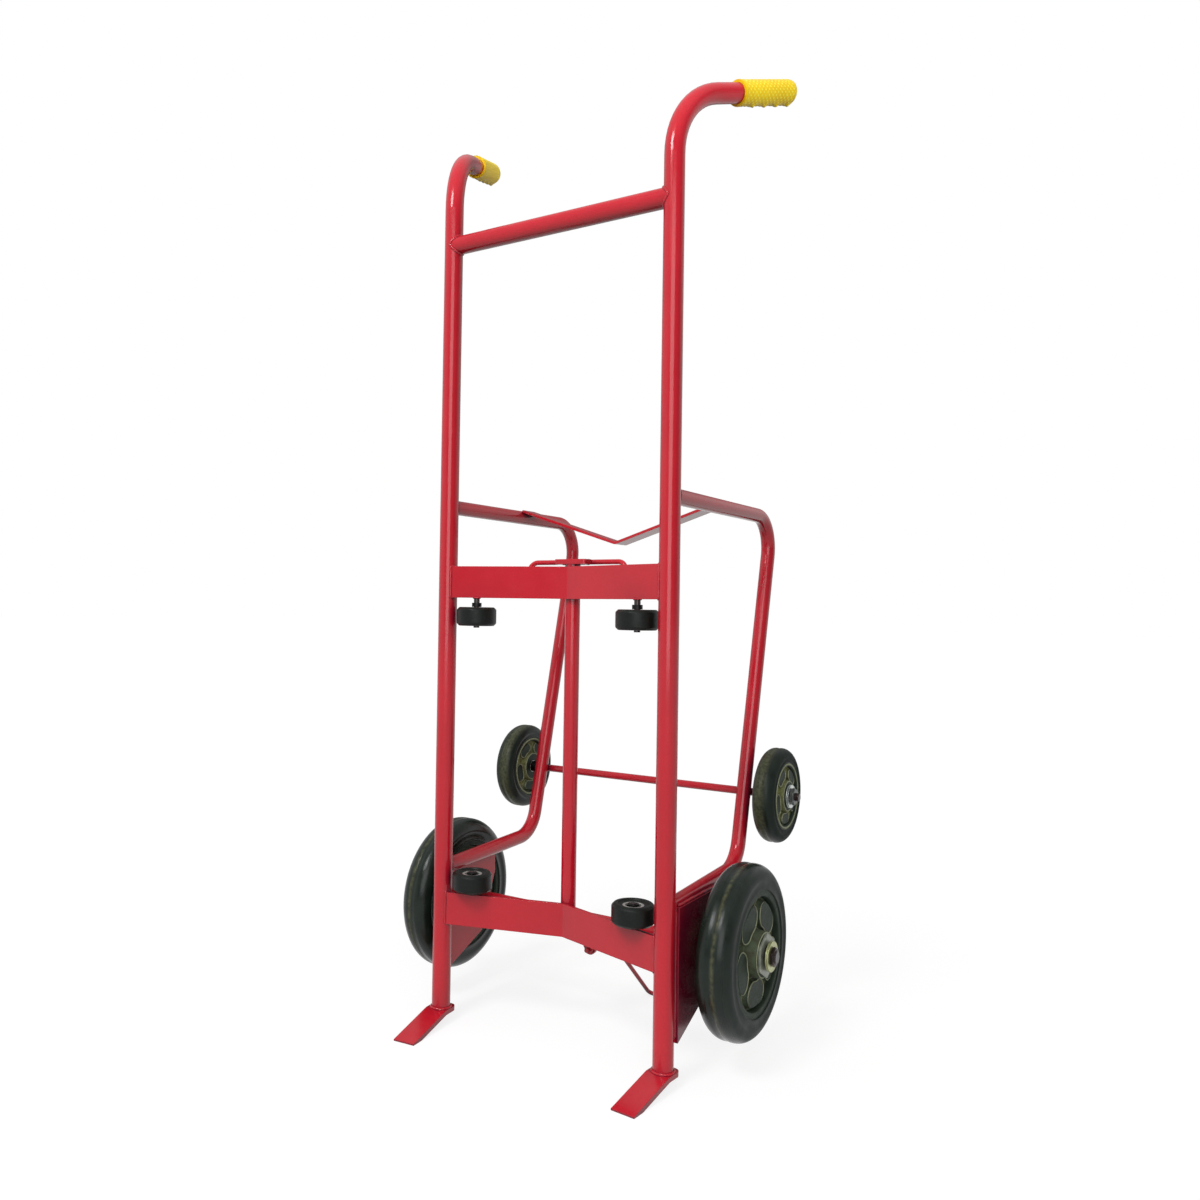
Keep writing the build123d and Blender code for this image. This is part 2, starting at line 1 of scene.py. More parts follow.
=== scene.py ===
import json
from math import atan, cos, pi, radians, sin, tan

import bpy
import numpy as np
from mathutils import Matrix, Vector


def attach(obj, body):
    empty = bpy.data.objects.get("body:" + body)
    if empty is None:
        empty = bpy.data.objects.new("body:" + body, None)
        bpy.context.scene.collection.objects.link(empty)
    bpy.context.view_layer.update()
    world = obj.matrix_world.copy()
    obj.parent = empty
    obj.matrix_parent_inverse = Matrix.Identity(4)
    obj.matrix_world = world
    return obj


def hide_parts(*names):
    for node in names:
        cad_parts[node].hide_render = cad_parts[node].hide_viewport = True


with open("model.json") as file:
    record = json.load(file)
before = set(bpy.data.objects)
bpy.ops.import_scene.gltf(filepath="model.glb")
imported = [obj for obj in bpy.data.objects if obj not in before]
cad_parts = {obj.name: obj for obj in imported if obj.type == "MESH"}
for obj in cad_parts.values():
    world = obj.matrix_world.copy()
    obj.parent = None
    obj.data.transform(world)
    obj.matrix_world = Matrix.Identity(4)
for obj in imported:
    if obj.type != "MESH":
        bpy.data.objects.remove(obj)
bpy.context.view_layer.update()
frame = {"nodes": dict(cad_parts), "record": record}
nodes = frame["nodes"]
along_x, along_y, along_z = np.eye(3)
sides = {"left": -1, "right": 1}


def joint_place(name):
    """Place of a joint's axis in the frame."""
    joints = frame["record"]["behaviour"]["joints"]
    return np.array(next(joint["pos_m"] for joint in joints if joint["name"] == name))


# Sizes in metres, as in the part. X runs across the truck, -Y is the drum side and Z is up.
main_wheel_place = joint_place("right_main_wheel_spin")
rear_wheel_place = joint_place("right_rear_wheel_spin")
roller_place = joint_place("right_upper_roller_spin")
main_axle = main_wheel_place * [0, 1, 1]
rear_axle = rear_wheel_place * [0, 1, 1]
main_axle_behind = 0.1265
upright_x = 0.198
uprights_y = main_axle[1] - main_axle_behind
upright_radius = 0.015
upright_foot = 0.0225
handle_corner_height = 1.407
handle_rise = radians(17.5)
handle_splay = radians(21.5)
handle_length = 0.250
grip_radius = 0.0185
grip_length = 0.119
grip_cap = 0.004
grip_end_radius = 0.009
grip_fit = 0.0001
finger_count = 4
finger_inset = 0.009
finger_pitch = 0.027
upper_tube_height = 1.260
upper_tube_radius = 0.0147
bar_height = 0.0508
bar_thickness = 0.006
bar_bend_radius = 0.009
crease_behind = 0.051
bar_end_forward = 0.0095
bar_bottoms = {"middle": 0.684, "lower": 0.159}
arm_slope = (crease_behind + bar_end_forward) / upright_x
crease_back = crease_behind - bar_bend_radius * ((1 + arm_slope ** 2) ** 0.5 - 1) + bar_thickness / 2
center_tube_radius = 0.01175
center_tube_y = uprights_y + crease_back + center_tube_radius
hook_rod_radius = 0.004
hook_rod_behind = 0.0125
hook_rod_above = 0.008
hook_rod_y = center_tube_y + hook_rod_behind
hook_rod_z = bar_bottoms["middle"] + bar_height + hook_rod_above
rear_tube_radius = 0.01175
rear_top_height = 0.832
rear_bottom_height = 0.257
rear_bottom_rise = 0.010
rear_top_reach = 0.4075
rear_bottom_reach = 0.262
rear_slope = atan((rear_top_reach - rear_bottom_reach) / (rear_top_height - rear_bottom_height))
brace_behind = 0.219
brace_width = 0.038
brace_seat = radians(45)
plate_inner_x = upright_x + rear_tube_radius
plate_drop = 0.007
plate_top = rear_bottom_height - plate_drop
plate_foot = 0.0615
plate_front_behind = 0.009
running_gap = 0.0004
running_fit = 0.00005
pad_count = 5
pad_sweep = radians(24)
pad_share = 0.78
pad_start = radians(32)
stand_x = 0.007

# Wheels: radii and half widths, then the scene's own grid sizes and rounding
main_wheel = {
    "place": main_wheel_place, "axle": 0.009525, "bush_wall": 0.005, "radius": 0.127, "half_width": 0.027,
    "shoulder": 0.021, "rim": 0.091, "half_rim": 0.025, "band": 0.082, "half_web": 0.0125,
    "pad_rise": 0.0095, "boss": 0.033, "half_hub": 0.0335, "ridge": 0.0042,
    "columns": 384, "spacing": 0.0011, "edge": 0.0016,
}
rear_wheel = {
    "place": rear_wheel_place, "axle": 0.00635, "bush_wall": 0.004, "radius": 0.0762, "half_width": 0.01775,
    "shoulder": 0.014, "rim": 0.0545, "half_rim": 0.01725, "band": 0.048, "half_web": 0.010,
    "pad_rise": 0.0055, "boss": 0.025, "half_hub": 0.01975, "ridge": 0.0040,
    "columns": 288, "spacing": 0.0009, "edge": 0.0011,
}
wheels = {"main": main_wheel, "rear": rear_wheel}

# Hardware outside the hubs, measured along X from the middle of the truck
main_flange_x = main_wheel_place[0] + main_wheel["half_hub"] + running_gap
main_flange_thickness = 0.0035
main_flange_across = 0.057
main_neck_x = main_flange_x + main_flange_thickness
main_neck_length = 0.0038
main_washer_x = main_neck_x + main_neck_length
main_washer_thickness = 0.0042
main_washer_radius = 0.02175
main_nut_x = main_washer_x + main_washer_thickness
main_nut_thickness = 0.005
main_nut_across = 0.0254
main_stub = 0.002
rear_washer_x = rear_wheel_place[0] + rear_wheel["half_hub"] + running_gap
rear_washer_thickness = 0.0045
rear_washer_radius = 0.0185
rear_nut_x = rear_washer_x + rear_washer_thickness
rear_nut_thickness = 0.0065
rear_nut_across = 0.024
rear_stub = 0.0065

# Drum rollers, each on a stud that is welded to the edge of a cradle bar
roller_x = roller_place[0]
stud_y = roller_place[1]
stud_radius = 0.00475
upper_stud_bare = 0.008
upper_collar_length = 0.0065
lower_collar_length = 0.006
roller_bush_wall = 0.005
roller_bush_length = 0.021
roller_radius = 0.03175
roller_height = 0.030
roller_chamfer = 0.004
roller_face_radius = 0.0235
roller_face_depth = 0.0025
roller_counterbore_radius = 0.016
roller_washer_radius = 0.01475
roller_washer_thickness = 0.0016
roller_nut_across = 0.016
roller_nut_thickness = 0.006

# Weld beads: radius, and length of one ripple
weld_sizes = {
    "stud": (0.0015, 0.0026),
    "cross tube": (0.0024, 0.0036),
    "rear tube": (0.0023, 0.0034),
    "bar end": (0.0020, 0.0034),
    "center tube": (0.0026, 0.0032),
    "toe": (0.0025, 0.0038),
    "plate top": (0.0026, 0.0032),
    "plate seam": (0.0021, 0.0032),
    "plate axle": (0.0024, 0.0034),
    "brace": (0.0022, 0.0032),
    "rear axle": (0.0022, 0.0032),
    "stand ear": (0.0018, 0.0032),
    "hook": (0.0014, 0.0026),
}


# Surfaces worked out on grids

def turn(count):
    """Angles of a full turn in equal steps, the last one a step short of the first."""
    return np.arange(count) * 2 * pi / count


def circle(centre, radius, first, second, count):
    """Points of a circle: centre + radius (cos a u + sin a v)."""
    angle = turn(count)[:, None]
    return centre + radius * (np.cos(angle) * first + np.sin(angle) * second)


def rounded(corners, radius, steps, closed=False):
    """Line with each corner cut back by the radius and filled with (1-t)^2 a + 2t(1-t) corner + t^2 b."""
    corners = np.asarray(corners, float)
    radius = np.broadcast_to(np.asarray(radius, float), len(corners))[:, None]
    before = np.roll(corners, 1, axis=0) - corners
    after = np.roll(corners, -1, axis=0) - corners
    before_length = np.linalg.norm(before, axis=1, keepdims=True)
    after_length = np.linalg.norm(after, axis=1, keepdims=True)
    most_of_run = 0.49
    cut = np.minimum(radius, most_of_run * np.minimum(before_length, after_length))
    start = corners + before / before_length * cut
    end = corners + after / after_length * cut
    t = np.linspace(0, 1, steps + 1)[:, None, None]
    line = ((1 - t) ** 2 * start + 2 * t * (1 - t) * corners + t ** 2 * end).transpose(1, 0, 2)
    if closed:
        return line.reshape(-1, corners.shape[1])
    middle = line[1:-1].reshape(-1, corners.shape[1])
    return np.vstack([corners[:1], middle, corners[-1:]])


def filled(line, spacing, closed=False):
    """Line with points added along its runs, so that none lies further than the spacing from the next."""
    line = np.asarray(line, float)
    ends = np.vstack([line, line[:1]]) if closed else line
    runs = np.linalg.norm(np.diff(ends, axis=0), axis=1)
    reach = np.concatenate([[0], np.cumsum(runs)])
    fewest = 8
    count = max(int(np.ceil(reach[-1] / spacing)), fewest)
    places = np.linspace(0, reach[-1], count, endpoint=not closed)
    return np.stack([np.interp(places, reach, ends[:, axis]) for axis in range(ends.shape[1])], axis=1)


def across_axis(axis):
    """Two unit ways across an axis, square to it and to each other."""
    axis = np.asarray(axis, float) / np.linalg.norm(axis)
    nearly_upright = 0.9
    other = along_z if abs(axis[2]) < nearly_upright else along_x
    first = np.cross(other, axis)
    first /= np.linalg.norm(first)
    return first, np.cross(axis, first)


def turned(profile, centre, axis, count, outline=None):
    """Profile (way along, radius) turned about an axis: centre + along axis + radius (cos a u + sin a v).

    The outline, where given, takes the radii, the ways along and the angles and returns the radii to use.
    """
    profile = np.asarray(profile, float)
    axis = np.asarray(axis, float) / np.linalg.norm(axis)
    first, second = across_axis(axis)
    angle = turn(count)
    along = np.repeat(profile[:, :1], count, axis=1)
    radius = np.repeat(profile[:, 1:2], count, axis=1)
    if outline is not None:
        radius = outline(radius, along, angle[None, :])
    around = np.cos(angle)[:, None] * first + np.sin(angle)[:, None] * second
    return np.asarray(centre) + along[..., None] * axis + radius[..., None] * around


def rod(path, radius, closed=False):
    """Round section carried along a path: path + radius (cos a u + sin a v), u and v square to the path.

    The radius has a row for each point of the path and a column for each angle.
    """
    if closed:
        tangent = np.roll(path, -1, axis=0) - np.roll(path, 1, axis=0)
    else:
        tangent = np.gradient(path, axis=0)
    tangent /= np.linalg.norm(tangent, axis=1, keepdims=True)
    off_axis = 1e-3
    guide = np.eye(3)[int(np.argmin(np.ptp(path, axis=0)))] + off_axis
    first = np.cross(guide, tangent)
    first /= np.linalg.norm(first, axis=1, keepdims=True)
    second = np.cross(tangent, first)
    angle = turn(radius.shape[1])[None, :, None]
    around = np.cos(angle) * first[:, None] + np.sin(angle) * second[:, None]
    return path[:, None] + radius[..., None] * around


def weld(path, kind, closed=False):
    """Weld bead: a rod that swells and shrinks once a ripple, each ripple bent to a V across the bead.

    Radius: size (1 - d + d |sin(pi (n way + b |sin a|))|^p), with two slow waves along it and thin ends.
    """
    size, pitch = weld_sizes[kind]
    depth, bend, power = 0.17, 0.22, 0.6
    end_run, end_share = 1.5 * size, 0.1
    columns, points_a_ripple = 10, 5
    path = filled(path, pitch / points_a_ripple, closed)
    way = np.linspace(0, 1, len(path), endpoint=not closed)
    steps = np.linalg.norm(np.diff(path, axis=0), axis=1)
    length = steps.sum()
    ripples = max(round(length / pitch), 1)
    wander = 1 + 0.10 * np.sin(2 * pi * (3 * way + 0.3)) + 0.06 * np.sin(2 * pi * (7 * way + 0.8))
    if not closed:
        wander = wander * np.clip(np.minimum(way, 1 - way) * length / end_run, end_share, 1) ** 0.5
    bent = ripples * way[:, None] + bend * np.abs(np.sin(turn(columns)))
    radius = size * wander[:, None] * (1 - depth + depth * np.abs(np.sin(pi * bent)) ** power)
    return rod(path, radius, closed), closed


def grid_faces(rows, columns, close_rows):
    """Four-sided faces of a grid whose columns go round; closed rows join the last row to the first."""
    a, b = np.meshgrid(np.arange(rows if close_rows else rows - 1), np.arange(columns), indexing="ij")
    a_next, b_next = (a + 1) % rows, (b + 1) % columns
    corners = [a * columns + b, a * columns + b_next, a_next * columns + b_next, a_next * columns + b]
    return np.stack(corners, axis=-1).reshape(-1, 4)


def shell(points, close_rows):
    """Vertices and faces of a closed skin on a grid that goes round its columns; open ends get a fan."""
    rows, columns = points.shape[:2]
    vertices = points.reshape(-1, 3)
    quads = grid_faces(rows, columns, close_rows)
    fans = np.zeros((0, 3), int)
    if not close_rows:
        rim = np.arange(columns)
        beside = (rim + 1) % columns
        low, last = len(vertices), (rows - 1) * columns
        vertices = np.vstack([vertices, points[0].mean(axis=0), points[-1].mean(axis=0)])
        low_fan = np.stack([np.full(columns, low), beside, rim], axis=1)
        high_fan = np.stack([np.full(columns, low + 1), last + rim, last + beside], axis=1)
        fans = np.concatenate([low_fan, high_fan])
    triangles = vertices[np.concatenate([quads[:, [0, 1, 2]], quads[:, [0, 2, 3]], fans])]
    triangles = triangles - vertices.mean(axis=0)
    volume = np.einsum("ij,ij->i", triangles[:, 0], np.cross(triangles[:, 1], triangles[:, 2])).sum()
    if volume < 0:
        return vertices, quads[:, ::-1], fans[:, ::-1]
    return vertices, quads, fans


def piece(name, shells, material, body, crease, replaced=()):
    """One object from closed grid skins, each given as (points, closed along its rows).

    Edges sharper than the crease, in degrees, stay sharp.
    """
    vertices, faces, start = [], [], 0
    for points, close_rows in shells:
        more, quads, fans = shell(points, close_rows)
        vertices.append(more)
        faces += (quads + start).tolist() + (fans + start).tolist()
        start += len(more)
    mesh = bpy.data.meshes.new(name)
    mesh.from_pydata(np.vstack(vertices).tolist(), [], faces)
    mesh.polygons.foreach_set("use_smooth", np.ones(len(mesh.polygons), bool))
    mesh.set_sharp_from_angle(angle=radians(crease))
    mesh.materials.append(material)
    made = bpy.data.objects.new(name, mesh)
    bpy.context.scene.collection.objects.link(made)
    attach(made, body)
    if replaced:
        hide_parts(*replaced)
    return made


def mark(made, name, values):
    """Map that keeps one value for each vertex, so that a finish can read it as the map's X."""
    corner_vertex = np.empty(len(made.data.loops), int)
    made.data.loops.foreach_get("vertex_index", corner_vertex)
    values = np.asarray(values).ravel()[corner_vertex]
    made.data.uv_layers.new(name=name).data.foreach_set("uv", np.stack([values, values], axis=1).ravel())


# Finishes

def add(tree, kind, inputs=None, **settings):
    """One shader node with its settings and unlinked input values."""
    made = tree.nodes.new(kind)
    for key, value in settings.items():
        setattr(made, key, value)
    for key, value in (inputs or {}).items():
        made.inputs[key].default_value = value
    return made


def link(tree, source, target):
    """Joins an output socket to an input socket."""
    tree.links.new(source, target)


def group(name, inputs, outputs):
    """Empty shader node group with its named sockets; returns its tree, input node and output node."""
    tree = bpy.data.node_groups.new(name, "ShaderNodeTree")
    for socket, (kind, value) in inputs.items():
        made = tree.interface.new_socket(socket, in_out="INPUT", socket_type=kind)
        if value is not None:
            made.default_value = value
    for socket, kind in outputs.items():
        tree.interface.new_socket(socket, in_out="OUTPUT", socket_type=kind)
    return tree, tree.nodes.new("NodeGroupInput"), tree.nodes.new("NodeGroupOutput")


def math(tree, operation, first, second=None, clamp=False):
    """Math node; each operand is a socket or a number. Returns its output."""
    made = add(tree, "ShaderNodeMath", operation=operation, use_clamp=clamp)
    for place, operand in enumerate((first, second)):
        if operand is None:
            continue
        if isinstance(operand, (int, float)):
            made.inputs[place].default_value = operand
        else:
            link(tree, operand, made.inputs[place])
    return made.outputs[0]


def mix_colour(tree, factor, first, second):
    """Colour mix; each operand is a socket or a colour. Returns its output."""
    made = add(tree, "ShaderNodeMix", data_type="RGBA")
    for place, operand in ((0, factor), (6, first), (7, second)):
        if isinstance(operand, (int, float)):
            made.inputs[place].default_value = operand
        elif isinstance(operand, tuple):
            made.inputs[place].default_value = (*operand, 1)
        else:
            link(tree, operand, made.inputs[place])
    return made.outputs[2]


def laid_over(tree, shade, colour, mask, share):
    """Shade with a colour laid over it by a share of the mask. Returns the mix's output."""
    return mix_colour(tree, math(tree, "MULTIPLY", mask, share), shade, colour)


def noise(tree, vector, scale, detail=3.0):
    """Noise texture's value at a scale in features a metre."""
    made = add(tree, "ShaderNodeTexNoise", {"Scale": scale, "Detail": detail, "Roughness": 0.55})
    link(tree, vector, made.inputs["Vector"])
    return made.outputs[0]


def ranged(tree, value, low, high, to_low=0.0, to_high=1.0):
    """Value moved from one range to another and held inside it."""
    made = add(tree, "ShaderNodeMapRange",
               {"From Min": low, "From Max": high, "To Min": to_low, "To Max": to_high})
    link(tree, value, made.inputs["Value"])
    return made.outputs[0]


def part_of(tree, vector, axis):
    """One part of a vector: its X, Y or Z."""
    made = add(tree, "ShaderNodeSeparateXYZ")
    link(tree, vector, made.inputs[0])
    return made.outputs[axis]


def make_patchy_group():
    """Group: slow patches of tone at two scales, for colour and gloss that differ from place to place."""
    tree, given, result = group(
        "patchy_tone",
        {"Vector": ("NodeSocketVector", None), "Patch Scale": ("NodeSocketFloat", 9.0),
         "Speck Scale": ("NodeSocketFloat", 240.0)},
        {"Patch": "NodeSocketFloat", "Speck": "NodeSocketFloat"},
    )
    patch = add(tree, "ShaderNodeTexNoise", {"Detail": 4.0, "Roughness": 0.6})
    speck = add(tree, "ShaderNodeTexNoise", {"Detail": 2.0, "Roughness": 0.5})
    for made, scale in ((patch, "Patch Scale"), (speck, "Speck Scale")):
        link(tree, given.outputs["Vector"], made.inputs["Vector"])
        link(tree, given.outputs[scale], made.inputs["Scale"])
    link(tree, ranged(tree, patch.outputs[0], 0.32, 0.68), result.inputs["Patch"])
    link(tree, ranged(tree, speck.outputs[0], 0.35, 0.65), result.inputs["Speck"])
    return tree


def make_edge_group():
    """Group: 1 on edges, 0 on open faces, from how far a rounded normal leaves the true one, with noise.
    Finishes lay rubbed wear and painted highlights with it.
    """
    tree, given, result = group(
        "edge_wear",
        {"Vector": ("NodeSocketVector", None), "Radius": ("NodeSocketFloat", 0.0015),
         "Ragged": ("NodeSocketFloat", 0.5)},
        {"Edge": "NodeSocketFloat", "Normal": "NodeSocketVector"},
    )
    soft = add(tree, "ShaderNodeBevel", samples=4)
    true = add(tree, "ShaderNodeNewGeometry")
    dot = add(tree, "ShaderNodeVectorMath", operation="DOT_PRODUCT")
    link(tree, given.outputs["Radius"], soft.inputs["Radius"])
    link(tree, soft.outputs[0], dot.inputs[0])
    link(tree, true.outputs["Normal"], dot.inputs[1])
    bent = ranged(tree, dot.outputs["Value"], 0.995, 0.86)
    ragged = ranged(tree, noise(tree, given.outputs["Vector"], 320.0), 0.35, 0.65)
    kept = math(tree, "SUBTRACT", 1.0, math(tree, "MULTIPLY", ragged, given.outputs["Ragged"]))
    link(tree, math(tree, "MULTIPLY", bent, kept, clamp=True), result.inputs["Edge"])
    link(tree, soft.outputs[0], result.inputs["Normal"])
    return tree


def make_dust_group():
    """Group: thin dust on faces that look up and in a broken noise pattern elsewhere."""
    tree, given, result = group(
        "settled_dust",
        {"Vector": ("NodeSocketVector", None), "Amount": ("NodeSocketFloat", 0.15)},
        {"Dust": "NodeSocketFloat"},
    )
    normal = add(tree, "ShaderNodeNewGeometry").outputs["Normal"]
    upward = ranged(tree, part_of(tree, normal, "Z"), 0.1, 1.0, 0.25, 1.0)
    clouds = ranged(tree, noise(tree, given.outputs["Vector"], 38.0, 5.0), 0.4, 0.75)
    settled = math(tree, "MULTIPLY", upward, clouds)
    thick = math(tree, "MULTIPLY", settled, given.outputs["Amount"], clamp=True)
    link(tree, thick, result.inputs["Dust"])
    return tree


def make_gap_shade_group():
    """Group: painted shade, 1 in corners and narrow gaps, 0 on open faces, from how much of the sky is shut
    out close by.
    """
    tree, given, result = group(
        "gap_grime",
        {"Vector": ("NodeSocketVector", None), "Reach": ("NodeSocketFloat", 0.030),
         "Gain": ("NodeSocketFloat", 1.8)},
        {"Grime": "NodeSocketFloat"},
    )
    open_sky = add(tree, "ShaderNodeAmbientOcclusion", samples=6)
    link(tree, given.outputs["Reach"], open_sky.inputs["Distance"])
    shut = math(tree, "SUBTRACT", 0.92, open_sky.outputs["AO"], clamp=True)
    shut = math(tree, "MULTIPLY", shut, given.outputs["Gain"])
    cloud = ranged(tree, noise(tree, given.outputs["Vector"], 60.0), 0.3, 0.7, 0.75, 1.0)
    link(tree, math(tree, "MULTIPLY", shut, cloud, clamp=True), result.inputs["Grime"])
    return tree


patchy_group = make_patchy_group()
edge_group = make_edge_group()
dust_group = make_dust_group()
gap_shade_group = make_gap_shade_group()


class Finish:
    """A material being built: its tree, its shader and its Object coordinates."""

    def __init__(self, name, roughness, metallic=0.0, specular=0.5):
        self.material = bpy.data.materials.new(name)
        self.material.use_nodes = True
        self.tree = self.material.node_tree
        self.shader = self.tree.nodes["Principled BSDF"]
        self.shader.inputs["Roughness"].default_value = roughness
        self.shader.inputs["Metallic"].default_value = metallic
        self.shader.inputs["Specular IOR Level"].default_value = specular
        self.place = add(self.tree, "ShaderNodeTexCoord").outputs["Object"]

    def use(self, shared, **values):
        """Places a shared group, fed with the Object coordinates and the values given."""
        made = add(self.tree, "ShaderNodeGroup", node_tree=shared)
        link(self.tree, self.place, made.inputs["Vector"])
        for key, value in values.items():
            made.inputs[key.replace("_", " ").title()].default_value = value
        return made.outputs

    def map_value(self, name):
        """Value that a piece keeps in the map of this name."""
        return part_of(self.tree, add(self.tree, "ShaderNodeUVMap", uv_map=name).outputs[0], "X")

    def beyond(self, distance, soft=0.0004):
        """1 further than the distance from the truck's middle plane, 0 nearer to it."""
        across = math(self.tree, "ABSOLUTE", part_of(self.tree, self.place, "X"))
        return ranged(self.tree, across, distance - soft, distance + soft)

    def band(self, near, far, near_soft, far_soft):
        """1 between two distances from the truck's middle plane, 0 nearer and further."""
        return math(self.tree, "SUBTRACT", self.beyond(near, near_soft), self.beyond(far, far_soft))

    def between(self, low, high):
        """1 between two heights, 0 below and above them."""
        height = part_of(self.tree, self.place, "Z")
        above = math(self.tree, "GREATER_THAN", height, low)
        return math(self.tree, "MULTIPLY", above, math(self.tree, "LESS_THAN", height, high))

    def colour(self, socket):
        """Takes the socket as the base colour."""
        link(self.tree, socket, self.shader.inputs["Base Color"])

    def roughness(self, socket):
        """Takes the socket as the roughness."""
        link(self.tree, socket, self.shader.inputs["Roughness"])

    def bump(self, height, distance, strength, normal=None):
        """Bump from a height in 0 to 1, over a rounded normal where one is given."""
        made = add(self.tree, "ShaderNodeBump", {"Strength": strength, "Distance": distance})
        link(self.tree, height, made.inputs["Height"])
        if normal is not None:
            link(self.tree, normal, made.inputs["Normal"])
        link(self.tree, made.outputs[0], self.shader.inputs["Normal"])


def red_enamel(name, bare_beyond=None, bare_between=None, gloss=0.16, shade_reach=0.045, shade_gain=1.8,
               shade_beyond=None):
    """Sprayed gloss enamel: tone patches, faint orange peel, thin edges painted paler as a painted highlight,
    dust, and painted shade in corners and gaps.

    Past bare_beyond from the middle plane, or between the two heights of bare_between, it is bare steel.
    Where the shade's distance is given, the painted shade lies only further than that from the middle plane.
    """
    deep_red, bright_red, speck_red = (0.52, 0.0075, 0.019), (0.60, 0.0120, 0.026), (0.40, 0.006, 0.020)
    # On the next line, the first colour is the pale of the painted edge highlight, the second the dark of the
    # painted shade in corners and gaps, and the third is dust.
    edge_highlight_red, gap_shade_red, dusty_red = (0.70, 0.040, 0.045), (0.075, 0.003, 0.018), (0.55, 0.20, 0.18)
    bare_brown = (0.022, 0.013, 0.012)
    made = Finish(name, gloss, specular=0.42)
    tree = made.tree
    tone = made.use(patchy_group, patch_scale=7.0, speck_scale=420.0)
    edge = made.use(edge_group, radius=0.0011, ragged=0.55)
    dust = made.use(dust_group, amount=0.06)["Dust"]
    # Painted shade: darker in corners and narrow gaps, from how much sky is shut out close by.
    gap_shade = made.use(gap_shade_group, reach=shade_reach, gain=shade_gain)["Grime"]
    if shade_beyond is not None:
        gap_shade = math(tree, "MULTIPLY", gap_shade, made.beyond(shade_beyond))
    red = mix_colour(tree, tone["Patch"], deep_red, bright_red)
    red = laid_over(tree, red, speck_red, tone["Speck"], 0.22)
    # Painted highlight: thin edges painted paler.
    red = laid_over(tree, red, edge_highlight_red, edge["Edge"], 0.40)
    # Painted shade laid over the red in corners and gaps.
    red = laid_over(tree, red, gap_shade_red, gap_shade, 0.90)
    red = mix_colour(tree, dust, red, dusty_red)
    if bare_beyond is not None:
        red = mix_colour(tree, made.beyond(bare_beyond), red, bare_brown)
    if bare_between is not None:
        red = mix_colour(tree, made.between(*bare_between), red, bare_brown)
    made.colour(red)
    patchy_gloss = ranged(tree, tone["Patch"], 0.0, 1.0, 0.8 * gloss, 1.25 * gloss)
    made.roughness(math(tree, "ADD", patchy_gloss, math(tree, "MULTIPLY", dust, 0.8)))
    orange_peel = noise(tree, made.place, 170.0, 2.0)
    made.bump(orange_peel, distance=0.00012, strength=0.20, normal=edge["Normal"])
    return made.material


def yellow_vinyl():
    """Dipped vinyl whose small raised dots are rubbed paler, with slow tone patches and darker specks."""
    deep_yellow, bright_yellow = (0.86, 0.56, 0.004), (0.93, 0.66, 0.007)
    rubbed_yellow, speck_yellow = (1.0, 0.90, 0.10), (0.66, 0.38, 0.006)
    made = Finish("yellow_vinyl", 0.42, specular=0.28)
    tree = made.tree
    dots = ranged(tree, made.map_value("grip"), 0.1, 0.9)
    tone = made.use(patchy_group, patch_scale=26.0, speck_scale=520.0)
    yellow = mix_colour(tree, tone["Patch"], deep_yellow, bright_yellow)
    yellow = mix_colour(tree, dots, yellow, rubbed_yellow)
    yellow = laid_over(tree, yellow, speck_yellow, tone["Speck"], 0.10)
    made.colour(yellow)
    made.roughness(ranged(tree, tone["Speck"], 0.0, 1.0, 0.36, 0.52))
    skin_grain = noise(tree, made.place, 900.0, 2.0)
    made.bump(skin_grain, distance=0.00010, strength=0.5)
    return made.material


def black_rubber(name, dark, light, gloss, ridge_at=None, browned=None, matt_beyond=None, specular=0.18):
    """Moulded rubber: brownish and greenish bloom in patches, fine skin grain, pale scuffs and settled dust.

    A line at ridge_at from the middle plane is scuffed to a pale olive; between the two distances of
    browned the tread is browned, and past matt_beyond the wall is matt.
    """
    speck_shade, scuffed, dusty = (0.015, 0.022, 0.010), (0.045, 0.055, 0.042), (0.12, 0.12, 0.10)
    ridge_olive, tread_brown = (0.082, 0.086, 0.042), (0.080, 0.086, 0.044)
    ridge_half, ridge_soft = 0.0026, 0.0020
    made = Finish(name, gloss, specular=specular)
    tree = made.tree
    tone = made.use(patchy_group, patch_scale=42.0, speck_scale=900.0)
    edge = made.use(edge_group, radius=0.0016, ragged=0.6)
    dust = made.use(dust_group, amount=0.05)["Dust"]
    shade = mix_colour(tree, tone["Patch"], dark, light)
    shade = laid_over(tree, shade, speck_shade, tone["Speck"], 0.45)
    shade = laid_over(tree, shade, scuffed, edge["Edge"], 0.45)
    if ridge_at is not None:
        line = made.band(ridge_at - ridge_half, ridge_at + ridge_half, ridge_soft, ridge_soft)
        broken = ranged(tree, noise(tree, made.place, 130.0, 4.0), 0.36, 0.62, 0.15, 0.85)
        shade = laid_over(tree, shade, ridge_olive, line, broken)
    if browned is not None:
        tread = made.band(*browned, 0.003, 0.004)
        mottled = ranged(tree, noise(tree, made.place, 210.0, 5.0), 0.30, 0.66, 0.2, 1.0)
        shade = laid_over(tree, shade, tread_brown, tread, mottled)
    shade = mix_colour(tree, dust, shade, dusty)
    made.colour(shade)
    rough = ranged(tree, tone["Patch"], 0.0, 1.0, gloss - 0.07, gloss + 0.07)
    if matt_beyond is not None:
        rough = math(tree, "ADD", rough, math(tree, "MULTIPLY", made.beyond(matt_beyond, 0.004), 0.38))
    made.roughness(rough)
    grain = math(tree, "ADD", noise(tree, made.place, 1500.0, 2.0), noise(tree, made.place, 260.0, 3.0))
    made.bump(grain, distance=0.00016, strength=0.6, normal=edge["Normal"])
    return made.material


